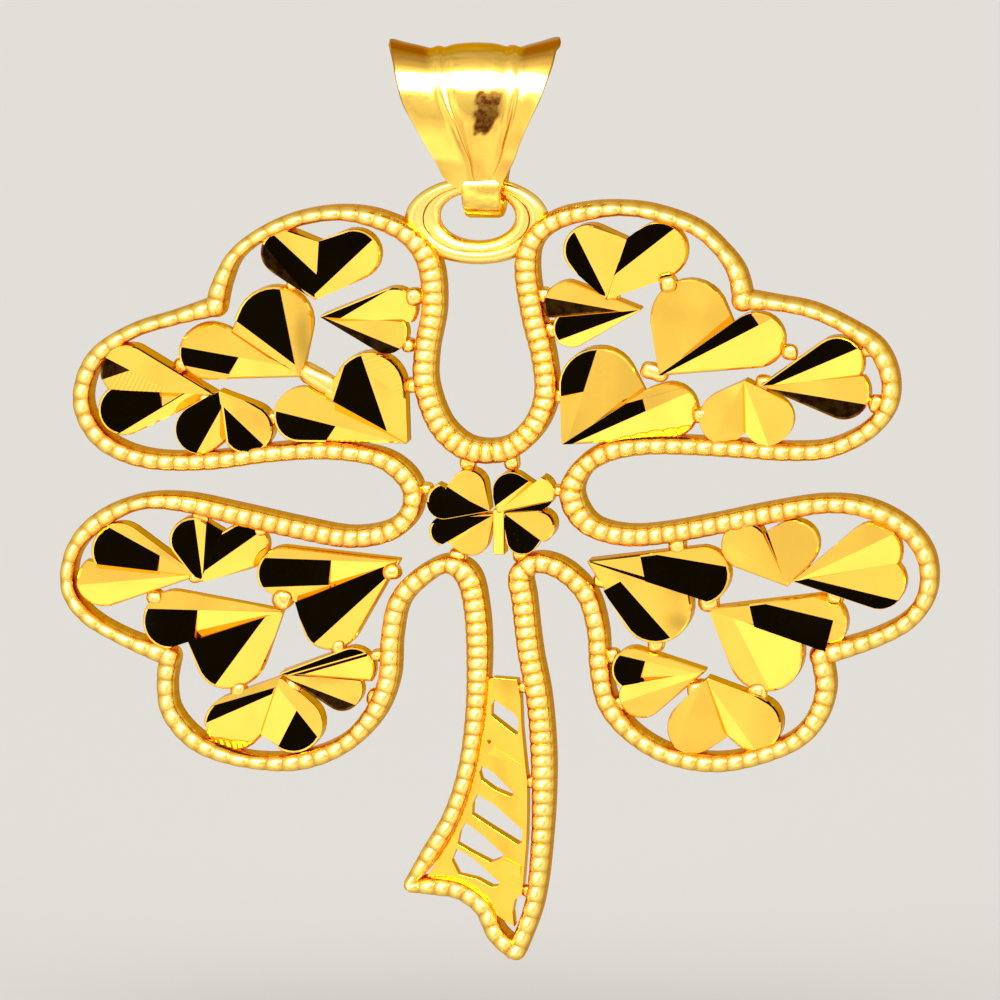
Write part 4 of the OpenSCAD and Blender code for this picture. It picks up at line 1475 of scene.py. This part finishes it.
# Studio
@dataclass
class Studio:
    """Pale floor and soft light all round, with a dark side behind the camera."""

    floor_z: float = -34.0
    floor_half: float = 2.5
    light_away: float = 0.5

    def add_floor(self) -> bpy.types.Object:
        """Adds the pale floor, which the metal doesn't mirror.

        Returns:
            The floor.
        """
        bm = bmesh.new()
        bmesh.ops.create_grid(bm, x_segments=4, y_segments=4, size=self.floor_half)
        bmesh.ops.translate(bm, vec=(0, 0, self.floor_z * MM), verts=bm.verts)
        mesh = bpy.data.meshes.new("floor")
        bm.to_mesh(mesh)
        bm.free()
        paint = bpy.data.materials.new("matt_white_paper")
        paint.use_nodes = True
        shader = paint.node_tree.nodes["Principled BSDF"]
        shader.inputs["Base Color"].default_value = linear("#D6D3CD")
        shader.inputs["Roughness"].default_value = 0.9
        shader.inputs["Specular IOR Level"].default_value = 0.1
        mesh.materials.append(paint)
        floor = bpy.data.objects.new("floor", mesh)
        bpy.context.scene.collection.objects.link(floor)
        floor.visible_glossy = False
        return floor

    def add_world(self) -> None:
        """Lights the scene from all round: dark behind the camera, brightest in a ring beside it."""
        world = bpy.data.worlds.new("light_tent")
        world.use_nodes = True
        tree = world.node_tree
        tree.nodes.clear()
        way = add_node(tree, "ShaderNodeTexCoord").outputs["Generated"]
        facing = add_node(tree, "ShaderNodeVectorMath", {0: way, 1: CAMERA.sight()},
                          operation="DOT_PRODUCT").outputs["Value"]
        angle = add_node(tree, "ShaderNodeMath", {0: facing}, operation="ARCCOSINE").outputs[0]
        share = add_node(tree, "ShaderNodeMath", {0: angle, 1: 1 / math.pi}, operation="MULTIPLY").outputs[0]
        # Brightness by the angle from the camera's line of sight, in degrees
        brightest = 1.6
        by_angle = [
            (0, 0.0), (25, 0.01), (28.5, 0.4), (31, 1.1), (38, 1.15), (42, 1.5), (50, 1.55), (62, 1.15),
            (90, 0.85), (125, 0.7), (150, 0.6), (180, 0.6),
        ]
        tent = add_node(tree, "ShaderNodeValToRGB", {0: share})
        stops = tent.color_ramp.elements
        stops[0].color, stops[1].color = (0, 0, 0, 1), (by_angle[-1][1] / brightest,) * 3 + (1,)
        for degrees, level in by_angle[1:-1]:
            stops.new(degrees / 180).color = (level / brightest,) * 3 + (1,)
        height = add_node(tree, "ShaderNodeSeparateXYZ", {0: way}).outputs["Z"]
        ceiling = add_node(tree, "ShaderNodeMapRange", {0: height, 1: 0.55, 2: 0.95, 3: 1.0, 4: 0.85})
        patches = add_node(tree, "ShaderNodeTexNoise", {"Vector": way, "Scale": 4.0, "Detail": 1.0})
        uneven = add_node(tree, "ShaderNodeMapRange", {
            0: patches.outputs["Fac"], 1: 0.3, 2: 0.7, 3: 0.76, 4: 1.2})
        power = add_node(tree, "ShaderNodeMath", {0: ceiling.outputs[0], 1: uneven.outputs[0]},
                         operation="MULTIPLY").outputs[0]
        strength = add_node(tree, "ShaderNodeMath", {0: power, 1: brightest}, operation="MULTIPLY").outputs[0]
        light = add_node(tree, "ShaderNodeBackground", {"Color": tent.outputs[0], "Strength": strength})
        plain = add_node(tree, "ShaderNodeBackground", {"Color": linear("#E4E1DB"), "Strength": 1.0})
        seen = add_node(tree, "ShaderNodeLightPath").outputs["Is Camera Ray"]
        mixed = add_node(tree, "ShaderNodeMixShader", {0: seen, 1: light.outputs[0], 2: plain.outputs[0]})
        add_node(tree, "ShaderNodeOutputWorld", {"Surface": mixed.outputs[0]})
        bpy.context.scene.world = world

    def hang(self, lamp: bpy.types.Light, azimuth: float, elevation: float,
             falls_on: Sequence[bpy.types.Object]) -> None:
        """Hangs a lamp that faces the pendant and lights some objects alone.

        Args:
            lamp: the lamp.
            azimuth: where it stands, in degrees.
            elevation: how high it stands, in degrees.
            falls_on: the objects that it lights.
        """
        way = direction(azimuth, elevation)
        holder = bpy.data.objects.new(lamp.name, lamp)
        holder.location = Vector(CAMERA.aim) * MM + way * self.light_away
        holder.rotation_mode = "QUATERNION"
        holder.rotation_quaternion = way.to_track_quat("Z", "Y")
        holder.visible_camera = False
        lit = bpy.data.collections.new(lamp.name)
        for thing in falls_on:
            lit.objects.link(thing)
        holder.light_linking.receiver_collection = lit
        bpy.context.scene.collection.objects.link(holder)

    def add_softbox(self, name: str, azimuth: float, elevation: float, half_wide: float, half_high: float,
                    radiance: float, falls_on: Sequence[bpy.types.Object], round_face: bool = True) -> None:
        """Adds a flat soft light half a metre away.

        Args:
            name: the light's name.
            azimuth: where it stands, in degrees.
            elevation: how high it stands, in degrees.
            half_wide: half of its width as an angle in degrees.
            half_high: half of its height as an angle in degrees.
            radiance: how bright its face is.
            falls_on: the objects that it lights.
            round_face: whether it is an oval and not a rectangle.
        """
        lamp = bpy.data.lights.new(name, "AREA")
        lamp.shape = "ELLIPSE" if round_face else "RECTANGLE"
        lamp.size = 2 * self.light_away * math.tan(math.radians(half_wide))
        lamp.size_y = 2 * self.light_away * math.tan(math.radians(half_high))
        area = lamp.size * lamp.size_y * (math.pi / 4 if round_face else 1.0)
        lamp.energy = radiance * math.pi * area
        self.hang(lamp, azimuth, elevation, falls_on)

    def build(self, wire: bpy.types.Object, soft: Sequence[bpy.types.Object], bail: bpy.types.Object) -> None:
        """Builds the stage and its lights; the mirror cuts of the hearts show the tent alone.

        Args:
            wire: the ridged wire.
            soft: the other softly polished pieces of the clover.
            bail: the bail.
        """
        floor = self.add_floor()
        self.add_world()
        self.add_softbox("front_fill", CAMERA.azimuth, CAMERA.elevation, 27, 27, 1.2, [wire, *soft])
        self.add_softbox("bail_fill", CAMERA.azimuth, CAMERA.elevation, 27, 27, 0.85, [bail])
        self.add_softbox("crest_box", -CAMERA.azimuth, -4, 14, 12, 8.0, [wire])
        self.add_softbox("upper_box", CAMERA.azimuth - 6, CAMERA.elevation + 24, 28, 12, 13.0, [wire, *soft])
        self.add_softbox("bail_box", CAMERA.azimuth, CAMERA.elevation + 20, 56, 17, 20.0, [bail],
                         round_face=False)
        sun = bpy.data.lights.new("floor_light", "SUN")
        sun.angle = math.radians(50)
        sun.energy = 1.0
        self.hang(sun, 0, 75, [floor])
        bpy.context.scene.view_settings.view_transform = "Standard"


def main() -> None:
    """Builds the pendant's pieces in order, then the studio."""
    logging.basicConfig(level=logging.INFO, format="%(message)s")
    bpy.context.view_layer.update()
    finishes = (DIAMOND_CUT, MILLED, CAST, PIERCED, BURNISHED)
    cut, milled, cast, pierced, burnished = (finish.build() for finish in finishes)
    wire = OutlineWire().build(milled)
    for name, hearts in (
        ("upper_left_leaf_hearts", UPPER_LEFT_HEARTS), ("upper_right_leaf_hearts", UPPER_RIGHT_HEARTS),
        ("lower_left_leaf_hearts", LOWER_LEFT_HEARTS), ("lower_right_leaf_hearts", LOWER_RIGHT_HEARTS),
    ):
        HeartGroup(name, hearts).build(cut)
    HeartGroup("middle_clover", MIDDLE_HEARTS, [(0.55, -15.85, 0.4, 1.5, 0.8)]).build(cut)
    soft = [SolderJoints().build(cast), StemPanel().build(pierced), Eyelet().build(cast)]
    bail = Bail().build(burnished)
    Studio().build(wire, soft, bail)
    CAMERA.build()


if __name__ == "__main__":
    main()
